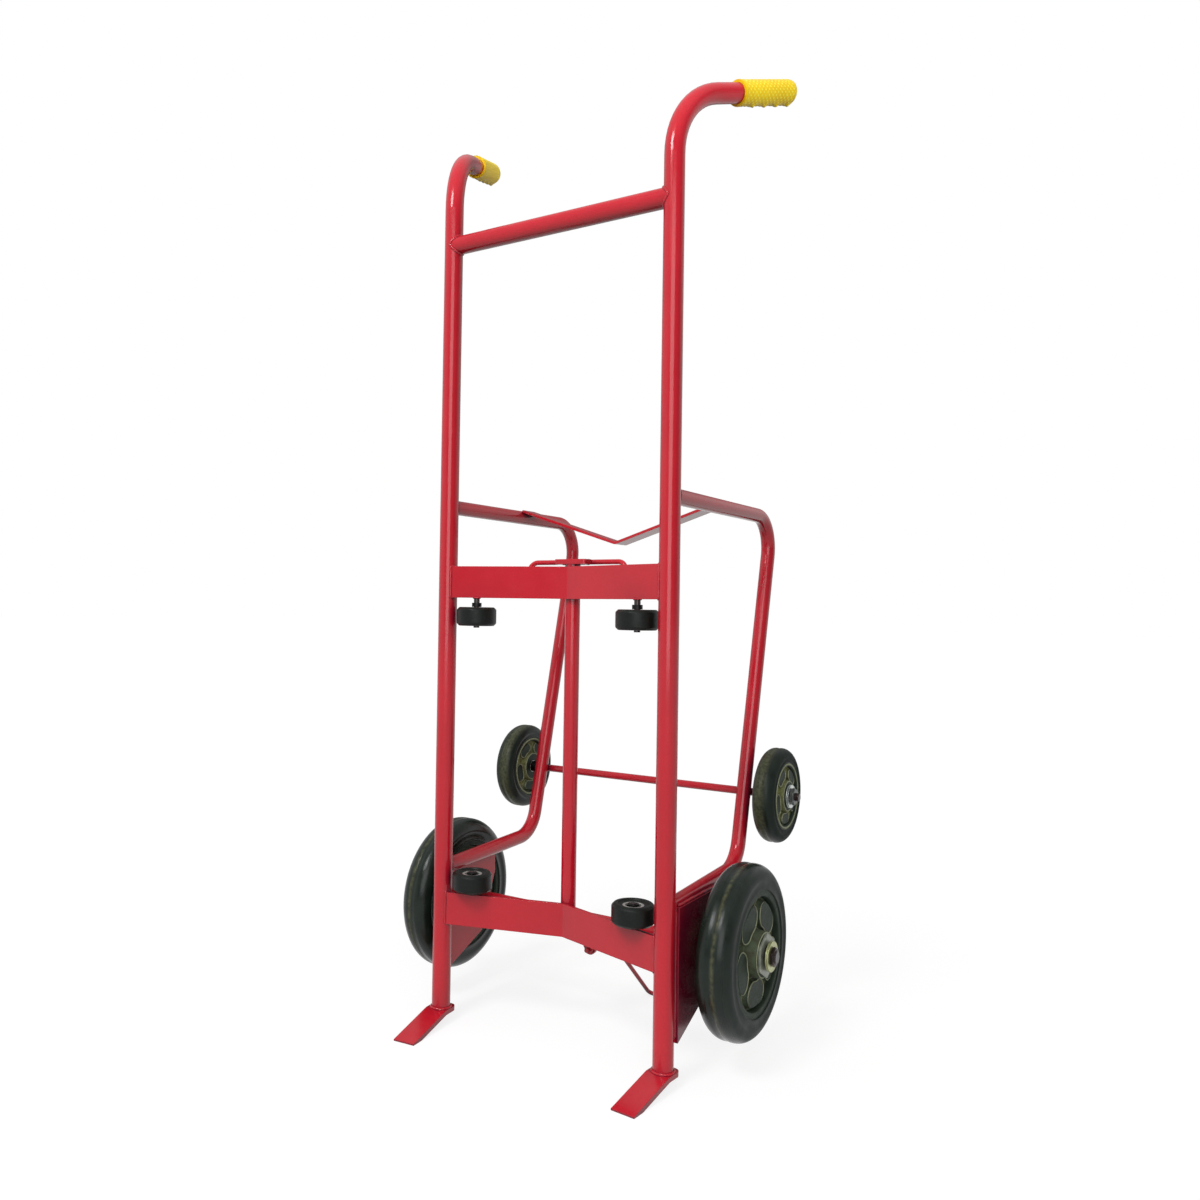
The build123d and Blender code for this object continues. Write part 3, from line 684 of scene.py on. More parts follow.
def cast_core(name, dark, light, wear_and_highlight, floor=None):
    """Sand-cast wheel centre under a thin dark coat, paler along its raised edges, partly from rubbed wear
    and partly as a painted highlight.

    Where a floor colour is given, it is painted light: the hollows between the pads, and less of it the boss
    wall, take that lighter colour with rust stains over it, as the map called relief says.
    """
    speck_shade, rust_stain, dusty = (0.030, 0.036, 0.020), (0.085, 0.060, 0.034), (0.18, 0.18, 0.15)
    made = Finish(name, 0.60, metallic=0.15, specular=0.22)
    tree = made.tree
    tone = made.use(patchy_group, patch_scale=55.0, speck_scale=700.0)
    edge = made.use(edge_group, radius=0.0016, ragged=0.45)
    dust = made.use(dust_group, amount=0.06)["Dust"]
    shade = mix_colour(tree, tone["Patch"], dark, light)
    shade = laid_over(tree, shade, speck_shade, tone["Speck"], 0.4)
    if floor is not None:
        # Painted light: the hollows between the pads are painted lighter, with rust stains over them.
        rust = ranged(tree, noise(tree, made.place, 115.0, 5.0), 0.42, 0.68, 0.0, 0.75)
        lit_and_stained = mix_colour(tree, rust, floor, rust_stain)
        shade = laid_over(tree, shade, lit_and_stained, made.map_value("relief"), 0.85)
    # Raised edges painted pale: partly rubbed wear, partly a painted highlight.
    shade = laid_over(tree, shade, wear_and_highlight, edge["Edge"], 0.7)
    shade = mix_colour(tree, dust, shade, dusty)
    made.colour(shade)
    made.roughness(ranged(tree, tone["Speck"], 0.0, 1.0, 0.50, 0.70))
    sand = math(tree, "ADD", noise(tree, made.place, 1100.0, 3.0), noise(tree, made.place, 190.0, 3.0))
    made.bump(sand, distance=0.00028, strength=0.7, normal=edge["Normal"])
    return made.material


def plated_steel(name, dark, light, gloss, metallic=1.0):
    """Plated or oiled steel: cloudy tone, fine scratches and brighter rubbed edges."""
    made = Finish(name, gloss, metallic)
    tree = made.tree
    tone = made.use(patchy_group, patch_scale=120.0, speck_scale=1600.0)
    edge = made.use(edge_group, radius=0.0008, ragged=0.3)
    rubbed = tuple(min(1.0, 1.35 * part + 0.03) for part in light)
    shade = mix_colour(tree, tone["Patch"], dark, light)
    shade = laid_over(tree, shade, rubbed, edge["Edge"], 0.6)
    made.colour(shade)
    made.roughness(ranged(tree, tone["Speck"], 0.0, 1.0, gloss - 0.07, gloss + 0.12))
    scratch_way = add(tree, "ShaderNodeMapping", {"Scale": (60.0, 900.0, 900.0)})
    link(tree, made.place, scratch_way.inputs["Vector"])
    scratches = noise(tree, scratch_way.outputs[0], 1.0)
    made.bump(scratches, distance=0.00010, strength=0.5, normal=edge["Normal"])
    return made.material


def wheel_x(kind, edge, inset=0.0):
    """Distance of a wheel's ridge or outer wall from the truck's middle plane, less an inset."""
    return wheels[kind]["place"][0] + wheels[kind][edge] - inset


stud_paint_above, stud_paint_below = 0.028, 0.001
stud_bare_from = bar_bottoms["lower"] + bar_height + stud_paint_above
stud_bare_to = bar_bottoms["middle"] - stud_paint_below
plate_shade_inset, tread_inset, main_wall_inset, rear_wall_inset = 0.002, 0.006, 0.006, 0.005
enamel = red_enamel("red_enamel")
weld_finish = red_enamel("weld_enamel", gloss=0.09)
# The axle plates' outer faces get a wide, deep painted shade, which stands in for the shadow of the tyres
# beside them.
shaded_plate_finish = red_enamel("plate_enamel", shade_reach=0.14, shade_gain=3.2,
                          shade_beyond=plate_inner_x + plate_shade_inset)
vinyl = yellow_vinyl()
rubber_dark, rubber_light = (0.0032, 0.0074, 0.0070), (0.0095, 0.0180, 0.0155)
tread_inner_x = rear_wheel_place[0] - rear_wheel["half_width"] + tread_inset
tyre_rubber = {
    "main": black_rubber("main_tyre_rubber", rubber_dark, rubber_light, gloss=0.21, specular=0.24,
                         ridge_at=wheel_x("main", "ridge"),
                         matt_beyond=wheel_x("main", "half_width", main_wall_inset)),
    "rear": black_rubber("rear_tyre_rubber", rubber_dark, rubber_light, gloss=0.36,
                         browned=(tread_inner_x, wheel_x("rear", "ridge")),
                         matt_beyond=wheel_x("rear", "half_width", rear_wall_inset)),
}
roller_rubber = black_rubber("roller_rubber", (0.0022, 0.0030, 0.0048), (0.0055, 0.0068, 0.0085), gloss=0.40)
# The third colour is the pale of raised edges, partly rubbed wear and partly a painted highlight.
core_dark, core_light, core_worn_and_highlit = (0.009, 0.018, 0.013), (0.025, 0.042, 0.029), (0.16, 0.19, 0.11)
# The floor colours are painted light, lighter than the core, for the hollows between the pads.
wheel_core = {
    "main": cast_core("main_cast_core", core_dark, core_light, core_worn_and_highlit, floor=(0.140, 0.180, 0.105)),
    "rear": cast_core("rear_cast_core", core_dark, core_light, core_worn_and_highlit, floor=(0.31, 0.33, 0.12)),
}
# Pale finish of the pad outlines and the hub and rim rings: partly rubbed wear, partly a painted highlight.
worn_core = cast_core("worn_core", (0.26, 0.29, 0.15), (0.44, 0.47, 0.30), (0.56, 0.58, 0.42))
zinc = plated_steel("zinc_plate", (0.34, 0.37, 0.36), (0.58, 0.61, 0.59), gloss=0.27)
flange_zinc = plated_steel("dull_zinc_plate", (0.17, 0.19, 0.15), (0.34, 0.36, 0.30), gloss=0.42,
                           metallic=0.45)
dark_zinc = plated_steel("dark_zinc_plate", (0.060, 0.064, 0.062), (0.15, 0.16, 0.155), gloss=0.36,
                         metallic=0.8)
olive_zinc = plated_steel("yellow_zinc_plate", (0.26, 0.28, 0.12), (0.46, 0.47, 0.26), gloss=0.34,
                          metallic=0.8)
dark_steel = plated_steel("oiled_dark_steel", (0.024, 0.018, 0.018), (0.062, 0.046, 0.042), gloss=0.32)
black_steel = plated_steel("black_oxide", (0.012, 0.012, 0.013), (0.028, 0.027, 0.027), gloss=0.40)
bright_steel = plated_steel("turned_steel", (0.50, 0.49, 0.46), (0.70, 0.69, 0.66), gloss=0.33, metallic=0.8)

slot_finish = {
    "red_paint": enamel,
    "yellow_vinyl": vinyl,
    "tyre_rubber": tyre_rubber["main"],
    "wheel_core": worn_core,
    "roller_rubber": roller_rubber,
    "bearing_steel": bright_steel,
    "zinc_plate": zinc,
    "black_steel": black_steel,
}
node_finish = {
    "main_axle": red_enamel("main_axle_enamel", bare_beyond=main_flange_x),
    "rear_axle": red_enamel("rear_axle_enamel", bare_beyond=rear_washer_x),
    "roller_studs": red_enamel("stud_enamel", bare_between=(stud_bare_from, stud_bare_to)),
    "left_axle_plate": shaded_plate_finish,
    "right_axle_plate": shaded_plate_finish,
}
for subpart in frame["record"]["subparts"]:
    node_mesh = nodes[subpart["node"]].data
    node_mesh.materials.clear()
    node_mesh.materials.append(node_finish.get(subpart["node"], slot_finish[subpart["material_slot"]]))


def weld_piece(name, beads, body="frame"):
    """One painted object from weld beads."""
    piece(name, beads, weld_finish, body, 60)


# Grips

grip_columns = 180
mouth_depth, mouth_run, mouth_step = 0.012, 0.004, 0.0005
lip_height, lip_middle, lip_half = 0.0006, 0.0025, 0.0024
nub_height, nub_width = 0.0034, 0.0040
dot_rows = 14
dot_height = 0.00045
dot_pitch = 2 * pi * grip_radius / dot_rows
dots_from, dots_end_margin, dots_fade = 0.003, 0.004, 0.003


def grip_dots(along, angle):
    """Rows of raised dots: sin(n angle) sin(2 pi along / pitch), kept where positive, fading at the ends."""
    wave = np.sin(dot_rows * angle) * np.sin(2 * pi * along / dot_pitch)
    to_end = grip_length - dots_end_margin - along
    fade = np.clip(np.minimum(along - dots_from, to_end) / dots_fade, 0, 1)
    return np.clip(wave, 0, 1) * fade


def grip_radius_at(along, angle):
    """Grip radius: thin lip at the mouth, dots, four pointed nubs underneath and a rounded end.

    along runs from the mouth to the end; angle 0 is straight down. A nub is h exp(-(d/w)^1.5) at the
    distance d from its middle, and the lip is h exp(-(d/w)^4).
    """
    lip = lip_height * np.exp(-((along - lip_middle) / lip_half) ** 4)
    end = grip_length + grip_cap - along
    short = np.clip(grip_end_radius - end, 0, grip_end_radius)
    rounding = grip_end_radius - np.sqrt(np.clip(grip_end_radius ** 2 - short ** 2, 0, None))
    nubs = 0
    for number in range(finger_count):
        nub_along = grip_length - finger_inset - finger_pitch * number
        distance = np.hypot(along - nub_along, grip_radius * angle)
        nubs = nubs + np.exp(-(distance / nub_width) ** 1.5)
    return grip_radius + lip - rounding + nub_height * nubs + dot_height * grip_dots(along, angle)


last_flat = grip_length + grip_cap - grip_end_radius
mouth_rows = np.linspace(0, mouth_run, 9)
body_rows = np.linspace(mouth_run + mouth_step, last_flat, 190)
end_rows = last_flat + grip_end_radius * np.sin(np.linspace(0, pi / 2, 14))[1:]
outer_along = np.concatenate([mouth_rows, body_rows, end_rows])
inner_along = np.array([mouth_depth, 0.0])
grip_along = np.concatenate([inner_along, outer_along])
grip_angle = turn(grip_columns) - pi
inner_sizes = np.full((len(inner_along), grip_columns), upright_radius + grip_fit)
grip_sizes = np.vstack([inner_sizes, grip_radius_at(outer_along[:, None], grip_angle[None, :])])
end_middles = [0, 0]
dot_map = np.append(grip_dots(grip_along[:, None], grip_angle[None, :]), end_middles)
level_run, level_rise = cos(handle_rise), sin(handle_rise)
for side, sign in sides.items():
    handle_way = np.array([sign * sin(handle_splay) * level_run, cos(handle_splay) * level_run, level_rise])
    handle_corner = np.array([sign * upright_x, uprights_y, handle_corner_height])
    mouth = handle_corner + handle_way * (handle_length - grip_length)
    level_way = np.array([cos(handle_splay), -sign * sin(handle_splay), 0.0])
    down_way = -np.cross(level_way, handle_way)
    around = np.cos(grip_angle)[:, None] * down_way + np.sin(grip_angle)[:, None] * level_way
    points = mouth + grip_along[:, None, None] * handle_way + grip_sizes[..., None] * around
    grip = piece(f"{side}_grip_skin", [(points, False)], vinyl, "frame", 60, [f"{side}_grip"])
    mark(grip, "grip", dot_map)


# Wheels

def tyre_profile(wheel, sign):
    """Tyre section, way across and radius: bead at the rim, dished wall, round shoulders, ridged tread."""
    bead_share, bead_corner, wall_inset, wall_dish = 0.06, 0.0004, 0.0002, 0.0011
    crown_drop, ridge_width = 0.0006, 0.0016
    radius, half_width, shoulder = wheel["radius"], wheel["half_width"], wheel["shoulder"]
    bead = wheel["rim"] + bead_share * (radius - wheel["rim"])
    wall_radius = np.linspace(bead, radius - shoulder, 16)
    dish = wall_dish * np.sin(pi * (wall_radius - bead) / (radius - shoulder - bead))
    wall = np.stack([half_width - wall_inset - dish, wall_radius], axis=1)
    arc = np.linspace(0, pi / 2, 22)[1:]
    bow_across = half_width - shoulder + shoulder * np.cos(arc)
    bow = np.stack([bow_across, radius - shoulder + shoulder * np.sin(arc)], axis=1)
    rim_corner = [(wheel["half_rim"], wheel["rim"]), (half_width - bead_corner, wheel["rim"] + bead_corner)]
    right = np.vstack([rim_corner, wall, bow])
    left = right[::-1] * [-1, 1]
    tread = np.linspace(right[-1, 0], left[0, 0], 41)[1:-1]
    ridge = sign * wheel["ridge"]
    near_middle = 1 - (tread / right[-1, 0]) ** 2
    crown = radius - crown_drop * near_middle * (1 - np.exp(-((tread - ridge) / ridge_width) ** 4))
    return np.vstack([right, np.stack([tread, crown], axis=1), left])


def out_from_axle(angle):
    """Unit ways out from an axle: cos a upwards + sin a towards the drum side."""
    return np.cos(angle)[:, None] * along_z - np.sin(angle)[:, None] * along_y


def pad_size(wheel):
    """Middle radius and half height of a kidney pad, between the boss and the band."""
    boss, band = wheel["boss"], wheel["band"]
    return (boss + band) / 2, (band - boss) * pad_share / 2


def pad_distance(wheel, radius, angle):
    """Distance out of the nearest kidney pad: from an arc at the middle radius, less the half height."""
    middle, half_height = pad_size(wheel)
    step = 2 * pi / pad_count
    off = (angle - pad_start + step / 2) % step - step / 2
    beyond = np.clip(np.abs(off) - pad_sweep / 2, 0, None)
    return np.hypot(middle * beyond, radius - middle) - half_height


def core_skin(wheel, centre):
    """Wheel core: a turned profile of boss, web and rim, with pads lifted by h / (1 + exp(distance / w)).

    Returns the grid and, for each point, the share of the painted light: 1 in the hollows between the pads,
    less on the boss wall and 0 elsewhere.
    """
    bore = wheel["axle"] + running_fit + wheel["bush_wall"]
    boss, band, edge = wheel["boss"], wheel["band"], wheel["edge"]
    half_hub, half_web, half_rim = wheel["half_hub"], wheel["half_web"], wheel["half_rim"]
    foot_radius, lift_width, boss_wall_light_share = 1.6 * edge, 0.3 * edge, 0.75
    face = rounded(
        [(half_hub, bore), (half_hub, boss), (half_web, boss + edge), (half_web, band - edge),
         (half_rim, band), (half_rim, wheel["rim"])],
        [0, edge, foot_radius, foot_radius, edge, 0], 6)
    face = filled(face, wheel["spacing"])
    profile = np.vstack([face, face[::-1] * [-1, 1]])
    angle = turn(wheel["columns"])
    along = np.repeat(profile[:, :1], len(angle), axis=1)
    radius = np.repeat(profile[:, 1:], len(angle), axis=1)
    out = pad_distance(wheel, radius, angle[None, :])
    lift = 1 / (1 + np.exp(np.clip(out / lift_width, -40, 40)))
    on_web = (radius > boss + edge) & (radius < band - edge)
    along = along + np.sign(along) * np.where(on_web, lift * wheel["pad_rise"], 0.0)
    points = centre + along[..., None] * along_x + radius[..., None] * out_from_axle(angle)
    boss_wall = (np.abs(radius - boss) < 1.01 * edge) & (np.abs(along) < half_hub - edge)
    return points, np.where(on_web, 1 - lift, boss_wall_light_share * boss_wall)


def pad_lines(wheel, centre, bead):
    """Pale edges of the pads, partly rubbed wear and partly a painted highlight: thin rods along the ends and
    inner side of each kidney, at its top and foot.
    """
    middle, half_height = pad_size(wheel)
    sunk, thin_points, thinnest, columns = 0.2 * bead, 10, 0.05, 8
    top = wheel["half_web"] + wheel["pad_rise"] - sunk
    foot = wheel["half_web"] + sunk
    half_turn = np.linspace(pi / 2, -pi / 2, 21)
    arc = np.linspace(-pad_sweep / 2, pad_sweep / 2, 15)
    lines = []
    for plane, size in ((top, half_height - 0.5 * wheel["edge"]), (foot, half_height + 0.9 * wheel["edge"])):
        inner = np.stack([arc[::-1], np.full_like(arc, middle - size)], axis=1)
        end_angle = pad_sweep / 2 + size * np.cos(half_turn) / middle
        end = np.stack([end_angle, middle + size * np.sin(half_turn)], axis=1)
        outline = np.vstack([end[:-1], inner[:-1], end[::-1] * [-1, 1]])
        number = np.arange(len(outline))
        thinning = np.clip(np.minimum(number, number[::-1]) / thin_points, thinnest, 1)
        radius = np.repeat(bead * thinning[:, None], columns, axis=1)
        for pad in range(pad_count):
            around = out_from_axle(outline[:, 0] + pad_start + pad * 2 * pi / pad_count)
            for way in (-1, 1):
                path = centre + way * plane * along_x + outline[:, 1:] * around
                lines.append((rod(path, radius), False))
    return lines


def ring_bead(centre, plane, radius, bead):
    """Round bead that goes round the wheel's axis at a radius, in one plane."""
    angle = turn(24)
    section = np.stack([plane + bead * np.cos(angle), radius + bead * np.sin(angle)], axis=1)
    return turned(section, centre, along_x, 128), True


pad_bead = 0.0009
boss_bead, boss_bead_depth, boss_bead_inset = 0.0010, 0.0006, 0.0012
band_bead, band_bead_depth, band_bead_outset = 0.0016, 0.0008, 0.0030
for side, sign in sides.items():
    for kind, wheel in wheels.items():
        centre = wheel["place"] * [sign, 1, 1]
        body = f"{side}_{kind}_wheel"
        tyre = [(turned(tyre_profile(wheel, sign), centre, along_x, 192), True)]
        piece(f"{side}_{kind}_tyre_skin", tyre, tyre_rubber[kind], body, 50,
              [f"{side}_{kind}_tyre"])
        points, lit_hollow_mask = core_skin(wheel, centre)
        core = piece(f"{side}_{kind}_core_skin", [(points, True)], wheel_core[kind], body, 60,
                     [f"{side}_{kind}_hub"])
        mark(core, "relief", lit_hollow_mask)
        # Pale rods along the pad edges and rings at the boss and rim: partly rubbed wear, partly a painted
        # highlight.
        wear_and_highlight = pad_lines(wheel, centre, pad_bead)
        boss_plane, boss_radius = wheel["half_hub"] - boss_bead_depth, wheel["boss"] - boss_bead_inset
        band_plane, band_radius = wheel["half_rim"] - band_bead_depth, wheel["band"] + band_bead_outset
        for way in (-1, 1):
            wear_and_highlight.append(ring_bead(centre, way * boss_plane, boss_radius, boss_bead))
            if kind == "rear":
                wear_and_highlight.append(ring_bead(centre, way * band_plane, band_radius, band_bead))
        piece(f"{side}_{kind}_worn_edges", wear_and_highlight, worn_core, body, 60)


# Hardware on the axle ends

def ring(centre, start, thickness, bore, outer, groove):
    """Turned washer: bore and outside joined by flat faces, with rounded edges and a groove round it.

    The groove is its place as a share of the thickness, counted from the wheel, its width and its depth.
    """
    edge = 0.0005
    share, width, depth = groove
    low, high = sorted((start, start + thickness))
    middle = start + share * thickness
    corners = [(low, bore), (low, outer), (middle - width / 2, outer), (middle, outer - depth),
               (middle + width / 2, outer), (high, outer), (high, bore)]
    return turned(rounded(corners, edge, 4, True), centre, along_x, 72), True


def off_flat(angle):
    """Angle from the middle of the nearest flat of a hexagon with a corner at the angle 90 degrees."""
    step = pi / 3
    return (angle + step / 2) % step - step / 2


def nut(centre, axis, start, thickness, bore, across):
    """Hexagon nut: a hexagon that meets a cone at each face, which rounds its corners, and a sunk bore."""
    cone_share, cone_slope, sink = 0.95, 1.9, 0.0006
    corner = across / 2 / cos(pi / 6)
    low, high = sorted((start, start + thickness))
    way = np.linspace(low, high, 23)
    from_face = np.minimum(way - low, high - way)
    outside = np.stack([way, np.minimum(cone_share * across / 2 + cone_slope * from_face, corner)], axis=1)
    low_bore = [(low + sink, bore), (low, bore + sink)]
    high_bore = [(high, bore + sink), (high - sink, bore)]
    profile = np.vstack([low_bore, outside, high_bore])

    def outline(radius, along, angle):
        return np.minimum(radius, across / 2 / np.cos(off_flat(angle)))

    return turned(profile, centre, axis, 96, outline), True


def hex_plate(centre, start, thickness, bore, across):
    """Hexagon plate with softened corners: radii are held to across / 2 over cos of the angle off a flat."""
    edge, corner_cut = 0.0006, 0.0008
    corner = across / 2 / cos(pi / 6) - corner_cut
    low, high = sorted((start, start + thickness))
    section = rounded([(low, bore), (low, corner), (high, corner), (high, bore)], edge, 3, True)

    def outline(radius, along, angle):
        flat = across / 2 / np.cos(off_flat(angle))
        return np.where(radius > (bore + corner) / 2, np.minimum(radius, flat - (corner - radius)), radius)

    return turned(section, centre, along_x, 144, outline), True


def thread(centre, start, length, radius):
    """Screw thread: radius less depth times a triangle wave of (along / pitch - angle / turn), tip coned."""
    pitch, depth, tip_run, tip_drop, rows_a_pitch = 0.0014, 0.0007, 0.0012, 0.0010, 12
    way = np.linspace(0, length, int(length / pitch * rows_a_pitch) + 2)
    profile = np.stack([start + np.sign(start) * way, np.full(len(way), radius)], axis=1)

    def outline(size, along, angle):
        wave = np.abs(((np.abs(along) / pitch - angle / (2 * pi)) % 1) * 2 - 1)
        tip = np.clip((abs(start) + length - np.abs(along)) / tip_run, 0, 1)
        return size - depth * wave - (1 - tip) * tip_drop

    return turned(profile, centre, along_x, 48, outline), False


flanges, washers, nuts, tips, rear_washers, rear_nuts = [], [], [], [], [], []
main_bore, rear_bore = main_wheel["axle"], rear_wheel["axle"]
main_groove, rear_groove = (0.5, 0.0009, 0.0011), (0.66, 0.0018, 0.0034)
thread_lift = 0.0001
for sign in sides.values():
    flanges.append(hex_plate(main_axle, sign * main_flange_x, sign * main_flange_thickness, main_bore,
                             main_flange_across))
    washers.append(ring(main_axle, sign * main_washer_x, sign * main_washer_thickness, main_bore,
                        main_washer_radius, main_groove))
    nuts.append(nut(main_axle, along_x, sign * main_nut_x, sign * main_nut_thickness, main_bore,
                    main_nut_across))
    tips.append(thread(main_axle, sign * (main_nut_x + main_nut_thickness), main_stub - thread_lift,
                       main_bore + thread_lift))
    rear_washers.append(ring(rear_axle, sign * rear_washer_x, sign * rear_washer_thickness, rear_bore,
                             rear_washer_radius, rear_groove))
    rear_nuts.append(nut(rear_axle, along_x, sign * rear_nut_x, sign * rear_nut_thickness, rear_bore,
                         rear_nut_across))
    tips.append(thread(rear_axle, sign * (rear_nut_x + rear_nut_thickness), rear_stub - thread_lift,
                       rear_bore + thread_lift))
piece("main_flange_plates", flanges, flange_zinc, "frame", 30, ["main_axle_flanges"])
piece("main_washer_stack", washers, olive_zinc, "frame", 30, ["main_axle_washers"])
piece("main_hex_nuts", nuts, dark_steel, "frame", 25, ["main_axle_nuts"])
piece("rear_washer_stack", rear_washers, zinc, "frame", 30, ["rear_axle_washers"])
piece("rear_hex_nuts", rear_nuts, dark_zinc, "frame", 25, ["rear_axle_nuts"])
piece("axle_tips", tips, dark_steel, "frame", 60)


# Drum rollers

bush_outer = stud_radius + running_fit + roller_bush_wall
face_height = roller_height - roller_face_depth
face_taper = 0.0012
bore_edge, tread_edge, lip_edge, face_edge, counterbore_edge = 0.0003, 0.0014, 0.0008, 0.0006, 0.0004
roller_section = rounded(
    [(0, bush_outer), (0, roller_radius - roller_chamfer), (roller_chamfer, roller_radius),
     (roller_height - roller_chamfer, roller_radius), (roller_height, roller_radius - roller_chamfer),
     (roller_height, roller_face_radius), (face_height, roller_face_radius - face_taper),
     (face_height, roller_counterbore_radius), (roller_bush_length, roller_counterbore_radius),
     (roller_bush_length, bush_outer)],
    [bore_edge, tread_edge, tread_edge, tread_edge, tread_edge, lip_edge, face_edge, counterbore_edge,
     counterbore_edge, bore_edge], 5, True)
bearing_depth, bearing_sunk = 0.0032, 0.0004
bearing_low, bearing_high = face_height - bearing_depth, face_height - bearing_sunk
bearing_inner, bearing_outer = 0.0118, 0.0158
ring_edge = 0.0004
bearing_section = rounded(
    [(bearing_low, bearing_inner), (bearing_low, bearing_outer), (bearing_high, bearing_outer),
     (bearing_high, bearing_inner)], ring_edge, 3, True)
roller_levels = {
    "upper": (bar_bottoms["middle"], -1, upper_stud_bare + upper_collar_length + running_gap),
    "lower": (bar_bottoms["lower"] + bar_height, 1, lower_collar_length + running_gap),
}
stud_bead_out = 0.0004
roller_nuts, roller_washers, stud_welds = [], [], []
for level, (bar_edge, way, offset) in roller_levels.items():
    for side, sign in sides.items():
        stud_root = np.array([sign * roller_x, stud_y, bar_edge])
        start = stud_root + way * offset * along_z
        axis = way * along_z
        body = f"{side}_{level}_drum_roller"
        tread = [(turned(roller_section, start, axis, 128), True)]
        piece(f"{side}_{level}_roller_skin", tread, roller_rubber, body, 40,
              [f"{side}_{level}_roller"])
        bearing = [(turned(bearing_section, start, axis, 96), True)]
        piece(f"{side}_{level}_bearing_ring", bearing, bright_steel, body, 30)
        washer_start = offset + roller_bush_length + running_gap
        washer_end = washer_start + roller_washer_thickness
        washer = rounded([(washer_start, stud_radius), (washer_start, roller_washer_radius),
                          (washer_end, roller_washer_radius), (washer_end, stud_radius)], ring_edge, 3, True)
        roller_washers.append((turned(washer, stud_root, axis, 64), True))
        roller_nuts.append(nut(stud_root, axis, washer_end, roller_nut_thickness, stud_radius,
                               roller_nut_across))
        foot_line = circle(stud_root, stud_radius + stud_bead_out, along_x, along_y, 48)
        stud_welds.append(weld(foot_line, "stud", True))
piece("roller_hex_nuts", roller_nuts, black_steel, "frame", 25, ["roller_nuts"])
piece("roller_flat_washers", roller_washers, zinc, "frame", 30, ["roller_washers"])
weld_piece("stud_welds", stud_welds)


# Welds

def saddle(tube_radius, post_radius):
    """Line where a tube meets a post: reach sqrt(R^2 - (r cos a)^2), r cos a beside and r sin a above."""
    angle = turn(96)
    beside, above = tube_radius * np.cos(angle), tube_radius * np.sin(angle)
    return np.sqrt(np.maximum(post_radius ** 2 - beside ** 2, 0)), beside, above


reach, beside, above = saddle(upper_tube_radius, upright_radius)
cross_welds = []
for sign in sides.values():
    path = np.stack([sign * (upright_x - reach), uprights_y + beside, upper_tube_height + above], axis=1)
    cross_welds.append(weld(path, "cross tube", True))
weld_piece("cross_tube_welds", cross_welds)

reach, beside, above = saddle(rear_tube_radius, upright_radius)
rear_welds = []
lower_run = (rear_bottom_height - rear_bottom_rise, rear_bottom_rise / rear_bottom_reach)
for sign in sides.values():
    for height, slope in ((rear_top_height, 0.0), lower_run):
        line_z = height + above + slope * reach
        path = np.stack([sign * upright_x + beside, uprights_y + reach, line_z], axis=1)
        rear_welds.append(weld(path, "rear tube", True))
weld_piece("rear_tube_welds", rear_welds)


def bar_meets_upright(offset):
    """Place where a bar's face meets the round upright: the root of (1 + k^2) d^2 + 2 k c d + c^2 = R^2."""
    c = -bar_end_forward + offset
    k = arm_slope
    d = (-k * c + (k * k * c * c - (1 + k * k) * (c * c - upright_radius ** 2)) ** 0.5) / (1 + k * k)
    return upright_x - d, uprights_y + c + k * d


face_offset = bar_thickness / 2 * (1 + arm_slope ** 2) ** 0.5
front_x, front_y = bar_meets_upright(-face_offset)
back_x, back_y = bar_meets_upright(face_offset)
bar_bead_corner, bar_bead_spacing = 0.003, 0.0006
tube_side_share, tube_front_share = 0.63, 0.82
tube_side = tube_side_share * center_tube_radius
tube_front = center_tube_y - tube_front_share * center_tube_radius
tube_bead_above, tube_bead_below = 0.010, 0.003
bar_welds = []
for bottom in bar_bottoms.values():
    top = bottom + bar_height
    for sign in sides.values():
        end_line = [(sign * front_x, front_y, bottom), (sign * front_x, front_y, top),
                    (sign * back_x, back_y, top), (sign * back_x, back_y, bottom)]
        end_line = filled(rounded(end_line, bar_bead_corner, 5, True), bar_bead_spacing, True)
        bar_welds.append(weld(end_line, "bar end", True))
        tube_line = [(sign * tube_side, tube_front, bottom + tube_bead_above),
                     (sign * tube_side, tube_front, top - tube_bead_below)]
        bar_welds.append(weld(tube_line, "center tube"))
weld_piece("cradle_bar_welds", bar_welds)

foot_bead_up, foot_bead_out = 0.0006, 0.0003
foot_welds = []
for sign in sides.values():
    foot = np.array([sign * upright_x, uprights_y, upright_foot + foot_bead_up])
    foot_welds.append(weld(circle(foot, upright_radius + foot_bead_out, along_x, along_y, 72), "toe", True))
weld_piece("toe_welds", foot_welds)

plate_meets = (upright_radius ** 2 - plate_front_behind ** 2) ** 0.5
top_bead_out, top_bead_front, top_bead_rear = 0.0012, 0.016, 0.026
top_bead_front_up, top_bead_rear_up = 0.0008, 0.0012
seam_out, seam_forward, seam_above, seam_below = 0.0010, 0.0006, 0.006, 0.004
axle_bead_out = 0.0002
plate_welds = []
for sign in sides.values():
    top_x = sign * (plate_inner_x + top_bead_out)
    top_edge = [(top_x, uprights_y + top_bead_front, plate_top + top_bead_front_up),
                (top_x, main_axle[1] + top_bead_rear, plate_top + top_bead_rear_up)]
    plate_welds.append(weld(top_edge, "plate top"))
    seam_x = sign * (upright_x + plate_meets + seam_out)
    seam_y = uprights_y + plate_front_behind - seam_forward
    seam = [(seam_x, seam_y, plate_foot + seam_above), (seam_x, seam_y, plate_top - seam_below)]
    plate_welds.append(weld(seam, "plate seam"))
    axle_end = main_axle + sign * plate_inner_x * along_x
    axle_line = circle(axle_end, main_bore + axle_bead_out, along_y, along_z, 60)
    plate_welds.append(weld(axle_line, "plate axle", True))
weld_piece("axle_plate_welds", plate_welds)

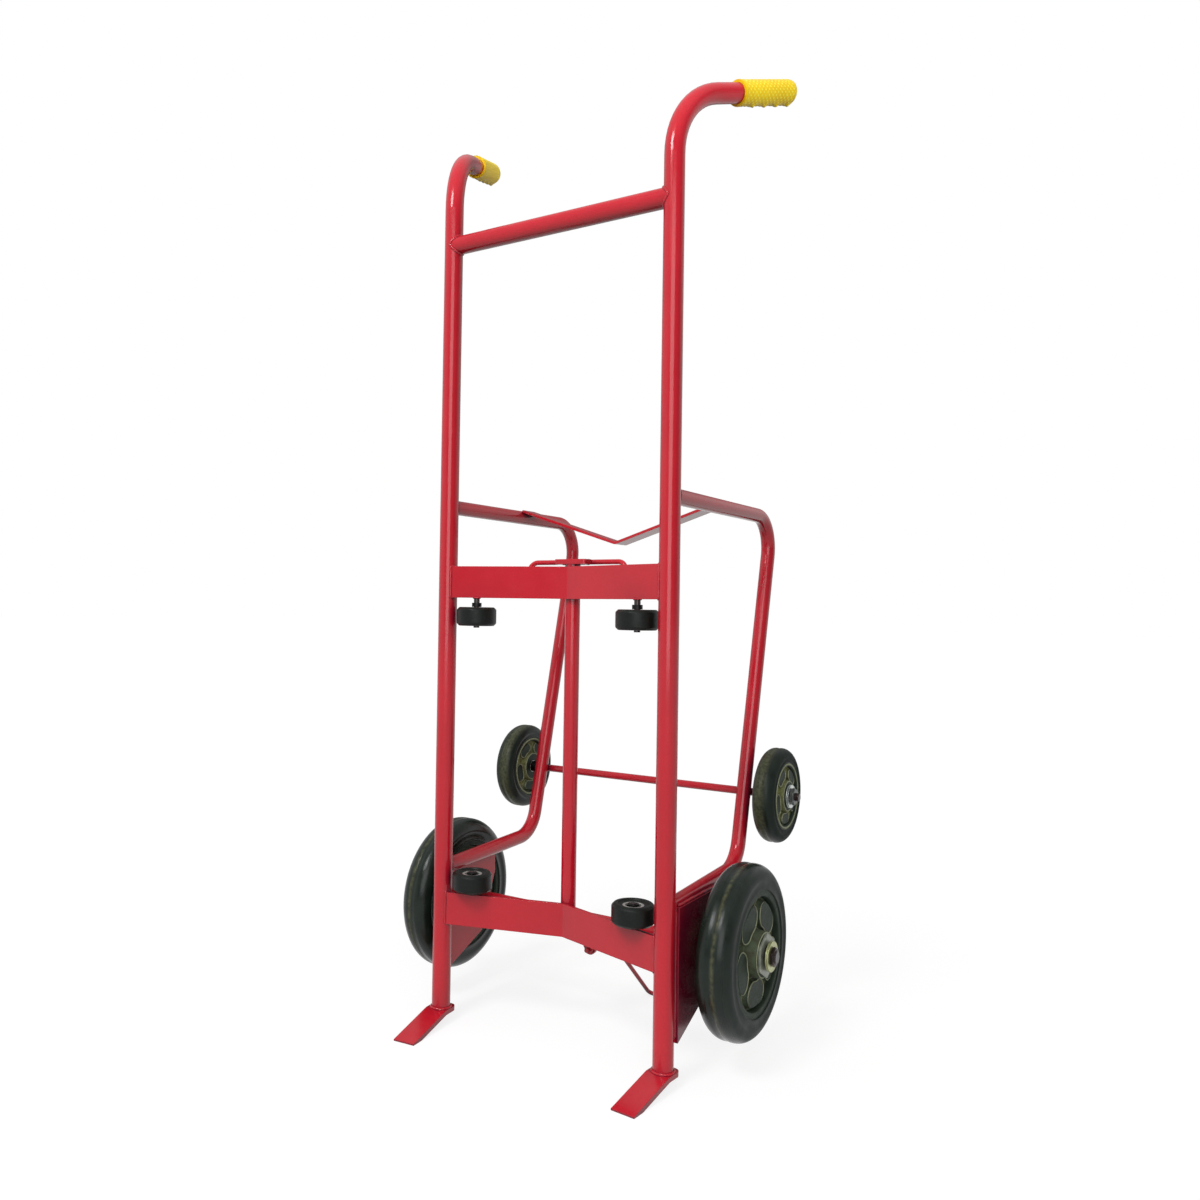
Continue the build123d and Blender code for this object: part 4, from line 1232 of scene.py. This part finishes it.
seat_out, seat_end = 0.0012, 0.001
rear_bead_half, rear_bead_above, rear_bead_sunk = 0.0065, 0.0048, 0.0006
ear_left, ear_right, ear_beside, ear_below = 0.026, 0.008, 0.0048, 0.0086
other_welds = []
for sign in sides.values():
    seat_x = sign * (upright_x - rear_tube_radius * cos(brace_seat) + seat_out)
    seat_z = rear_top_height + rear_tube_radius * sin(brace_seat) + seat_out
    seat_ends = [uprights_y + brace_behind + way * (brace_width / 2 - seat_end) for way in (-1, 1)]
    other_welds.append(weld([(seat_x, seat_y, seat_z) for seat_y in seat_ends], "brace"))
    tube_back_y = rear_axle[1] - (rear_bore - rear_bead_sunk) / cos(rear_slope)
    for above in (-rear_bead_above, rear_bead_above):
        axle_y, axle_z = tube_back_y + above * tan(rear_slope), rear_axle[2] + above
        line = [(sign * upright_x + way * rear_bead_half, axle_y, axle_z) for way in (-1, 1)]
        other_welds.append(weld(line, "rear axle"))
for way in (-1, 1):
    ear_y, ear_z = main_axle[1] + way * ear_beside, main_axle[2] - ear_below
    ear_line = [(stand_x - ear_left, ear_y, ear_z), (stand_x + ear_right, ear_y, ear_z)]
    other_welds.append(weld(ear_line, "stand ear"))
weld_piece("brace_and_axle_welds", other_welds)

hook_bead_half, hook_bead_above, hook_bead_share = 0.026, 0.0034, 0.9
hook_bead_y = hook_rod_y - hook_bead_share * hook_rod_radius
hook_welds = []
for above in (-hook_bead_above, hook_bead_above):
    line = [(way * hook_bead_half, hook_bead_y, hook_rod_z + above) for way in (-1, 1)]
    hook_welds.append(weld(line, "hook"))
weld_piece("hook_welds", hook_welds, "chime_hook")


# Floor, light and camera

def seen_by_eye(tree):
    """1 for the rays by which the camera, mirrors and glass see a surface, 0 for rays that light it.

    Returns that and 1 for the rays of mirrors alone.
    """
    path = add(tree, "ShaderNodeLightPath")
    mirrors = math(tree, "MAXIMUM", path.outputs["Is Glossy Ray"], path.outputs["Is Transmission Ray"])
    return math(tree, "MAXIMUM", path.outputs["Is Camera Ray"], mirrors), path.outputs["Is Glossy Ray"]


def floor_finish():
    """White floor: near the truck it takes shadows, and further out it glows plain white to the eye only."""
    near_tone, far_tone = (0.26, 0.26, 0.26), (0.02, 0.02, 0.02)
    shadow_reach, white_from, near_glow = 0.45, 1.15, 0.80
    material = bpy.data.materials.new("white_floor")
    material.use_nodes = True
    tree = material.node_tree
    tree.nodes.clear()
    distance = add(tree, "ShaderNodeVectorMath", operation="LENGTH")
    link(tree, add(tree, "ShaderNodeTexCoord").outputs["Object"], distance.inputs[0])
    far = ranged(tree, distance.outputs["Value"], shadow_reach, white_from)
    diffuse = add(tree, "ShaderNodeBsdfDiffuse")
    link(tree, mix_colour(tree, far, near_tone, far_tone), diffuse.inputs["Color"])
    glow = add(tree, "ShaderNodeEmission")
    seen, _ = seen_by_eye(tree)
    strength = math(tree, "MULTIPLY", seen, ranged(tree, far, 0.0, 1.0, near_glow, 1.0))
    link(tree, strength, glow.inputs["Strength"])
    both = add(tree, "ShaderNodeAddShader")
    link(tree, diffuse.outputs[0], both.inputs[0])
    link(tree, glow.outputs[0], both.inputs[1])
    link(tree, both.outputs[0], add(tree, "ShaderNodeOutputMaterial").inputs["Surface"])
    return material


floor_half = 40
floor_corners = [(-floor_half, -floor_half, 0), (floor_half, -floor_half, 0), (floor_half, floor_half, 0),
                 (-floor_half, floor_half, 0)]
floor_mesh = bpy.data.meshes.new("floor")
floor_mesh.from_pydata(floor_corners, [], [(0, 1, 2, 3)])
floor_mesh.materials.append(floor_finish())
floor = bpy.data.objects.new("floor", floor_mesh)
bpy.context.scene.collection.objects.link(floor)


def studio_world():
    """White room that lights the truck mostly from the front; mirrors see two white walls, a dimmer rest."""
    front_way, left_way, back_way = (-0.30, -0.80, 0.52), (-0.93, -0.36, 0.0), (0.48, 0.88, 0.0)
    back_fill, front_fill = 0.28, 0.58
    dim_wall, white_wall, ceiling_level = 0.22, 1.0, 0.8
    made = bpy.data.worlds.new("studio")
    made.use_nodes = True
    sky = made.node_tree
    sky.nodes.clear()
    seen, mirrored = seen_by_eye(sky)
    way = add(sky, "ShaderNodeTexCoord").outputs["Generated"]

    def towards(direction):
        """How far a ray runs towards a direction, from -1 to 1."""
        dot = add(sky, "ShaderNodeVectorMath", {1: direction}, operation="DOT_PRODUCT")
        link(sky, way, dot.inputs[0])
        return dot.outputs["Value"]

    fill = ranged(sky, towards(front_way), -0.8, 0.9, back_fill, front_fill)
    left_wall = ranged(sky, towards(left_way), 0.25, 0.85, dim_wall, white_wall)
    back_wall = ranged(sky, towards(back_way), 0.70, 0.93, dim_wall, white_wall)
    ceiling = ranged(sky, towards((0.0, 0.0, 1.0)), 0.25, 0.8, 0.0, ceiling_level)
    mirror = math(sky, "MAXIMUM", math(sky, "MAXIMUM", left_wall, back_wall), ceiling)
    plain = add(sky, "ShaderNodeMix", {3: 1.0})
    link(sky, seen, plain.inputs[0])
    link(sky, fill, plain.inputs[2])
    level = add(sky, "ShaderNodeMix")
    link(sky, mirrored, level.inputs[0])
    link(sky, plain.outputs[0], level.inputs[2])
    link(sky, mirror, level.inputs[3])
    backdrop = add(sky, "ShaderNodeBackground", {"Color": (1, 1, 1, 1)})
    link(sky, level.outputs[0], backdrop.inputs["Strength"])
    link(sky, backdrop.outputs[0], add(sky, "ShaderNodeOutputWorld").inputs["Surface"])
    return made


def place_lamp(data, place, target, watts):
    """Puts a lamp at a place so that it faces a target."""
    data.energy = watts
    made = bpy.data.objects.new(data.name, data)
    made.location = place
    made.rotation_euler = (Vector(place) - Vector(target)).to_track_quat("Z", "Y").to_euler()
    bpy.context.scene.collection.objects.link(made)
    return made


def softbox(name, place, size, watts):
    """Square soft lamp that faces the truck's middle."""
    truck_middle = (0, 0, 0.75)
    data = bpy.data.lights.new(name, "AREA")
    data.size = size
    place_lamp(data, place, truck_middle, watts)


def spot(name, place, target, cone, watts):
    """Narrow soft-edged lamp that leaves no glint."""
    data = bpy.data.lights.new(name, "SPOT")
    data.spot_size = cone
    data.spot_blend = 0.7
    data.shadow_soft_size = 0.2
    place_lamp(data, place, target, watts).visible_glossy = False


bpy.context.scene.world = studio_world()
softbox("front_softbox", place=(1.35, -2.75, 1.4), size=2.0, watts=40)
softbox("high_key", place=(-0.2, -2.6, 3.0), size=0.9, watts=54)
spot("grip_spot", place=(2.4, -0.35, 0.85), target=(0, 0.05, 1.48), cone=radians(11), watts=130)

# The camera is the one that fits the photo, whose picture is 1200 pixels wide and high
photo_size = 1200
photo_focus = 1017.986
photo_middle_x, photo_middle_y = 524.518, 588.921
camera_data = bpy.data.cameras.new("camera")
camera_data.sensor_width = 36.0
camera_data.lens = camera_data.sensor_width * photo_focus / photo_size
camera_data.shift_x = 0.5 - photo_middle_x / photo_size
camera_data.shift_y = photo_middle_y / photo_size - 0.5
camera = bpy.data.objects.new("camera", camera_data)
bpy.context.scene.collection.objects.link(camera)
bpy.context.scene.camera = camera
camera_turn, camera_tilt, camera_roll = radians(33.688), radians(-1.110), radians(0.904)
camera.location = (0.827217, -1.462990, 0.667861)
camera.rotation_mode = "XYZ"
camera.rotation_euler = (pi / 2 - camera_tilt, 0, camera_turn)
camera.rotation_euler.rotate_axis("Z", camera_roll)

bpy.context.scene.view_settings.view_transform = "Standard"
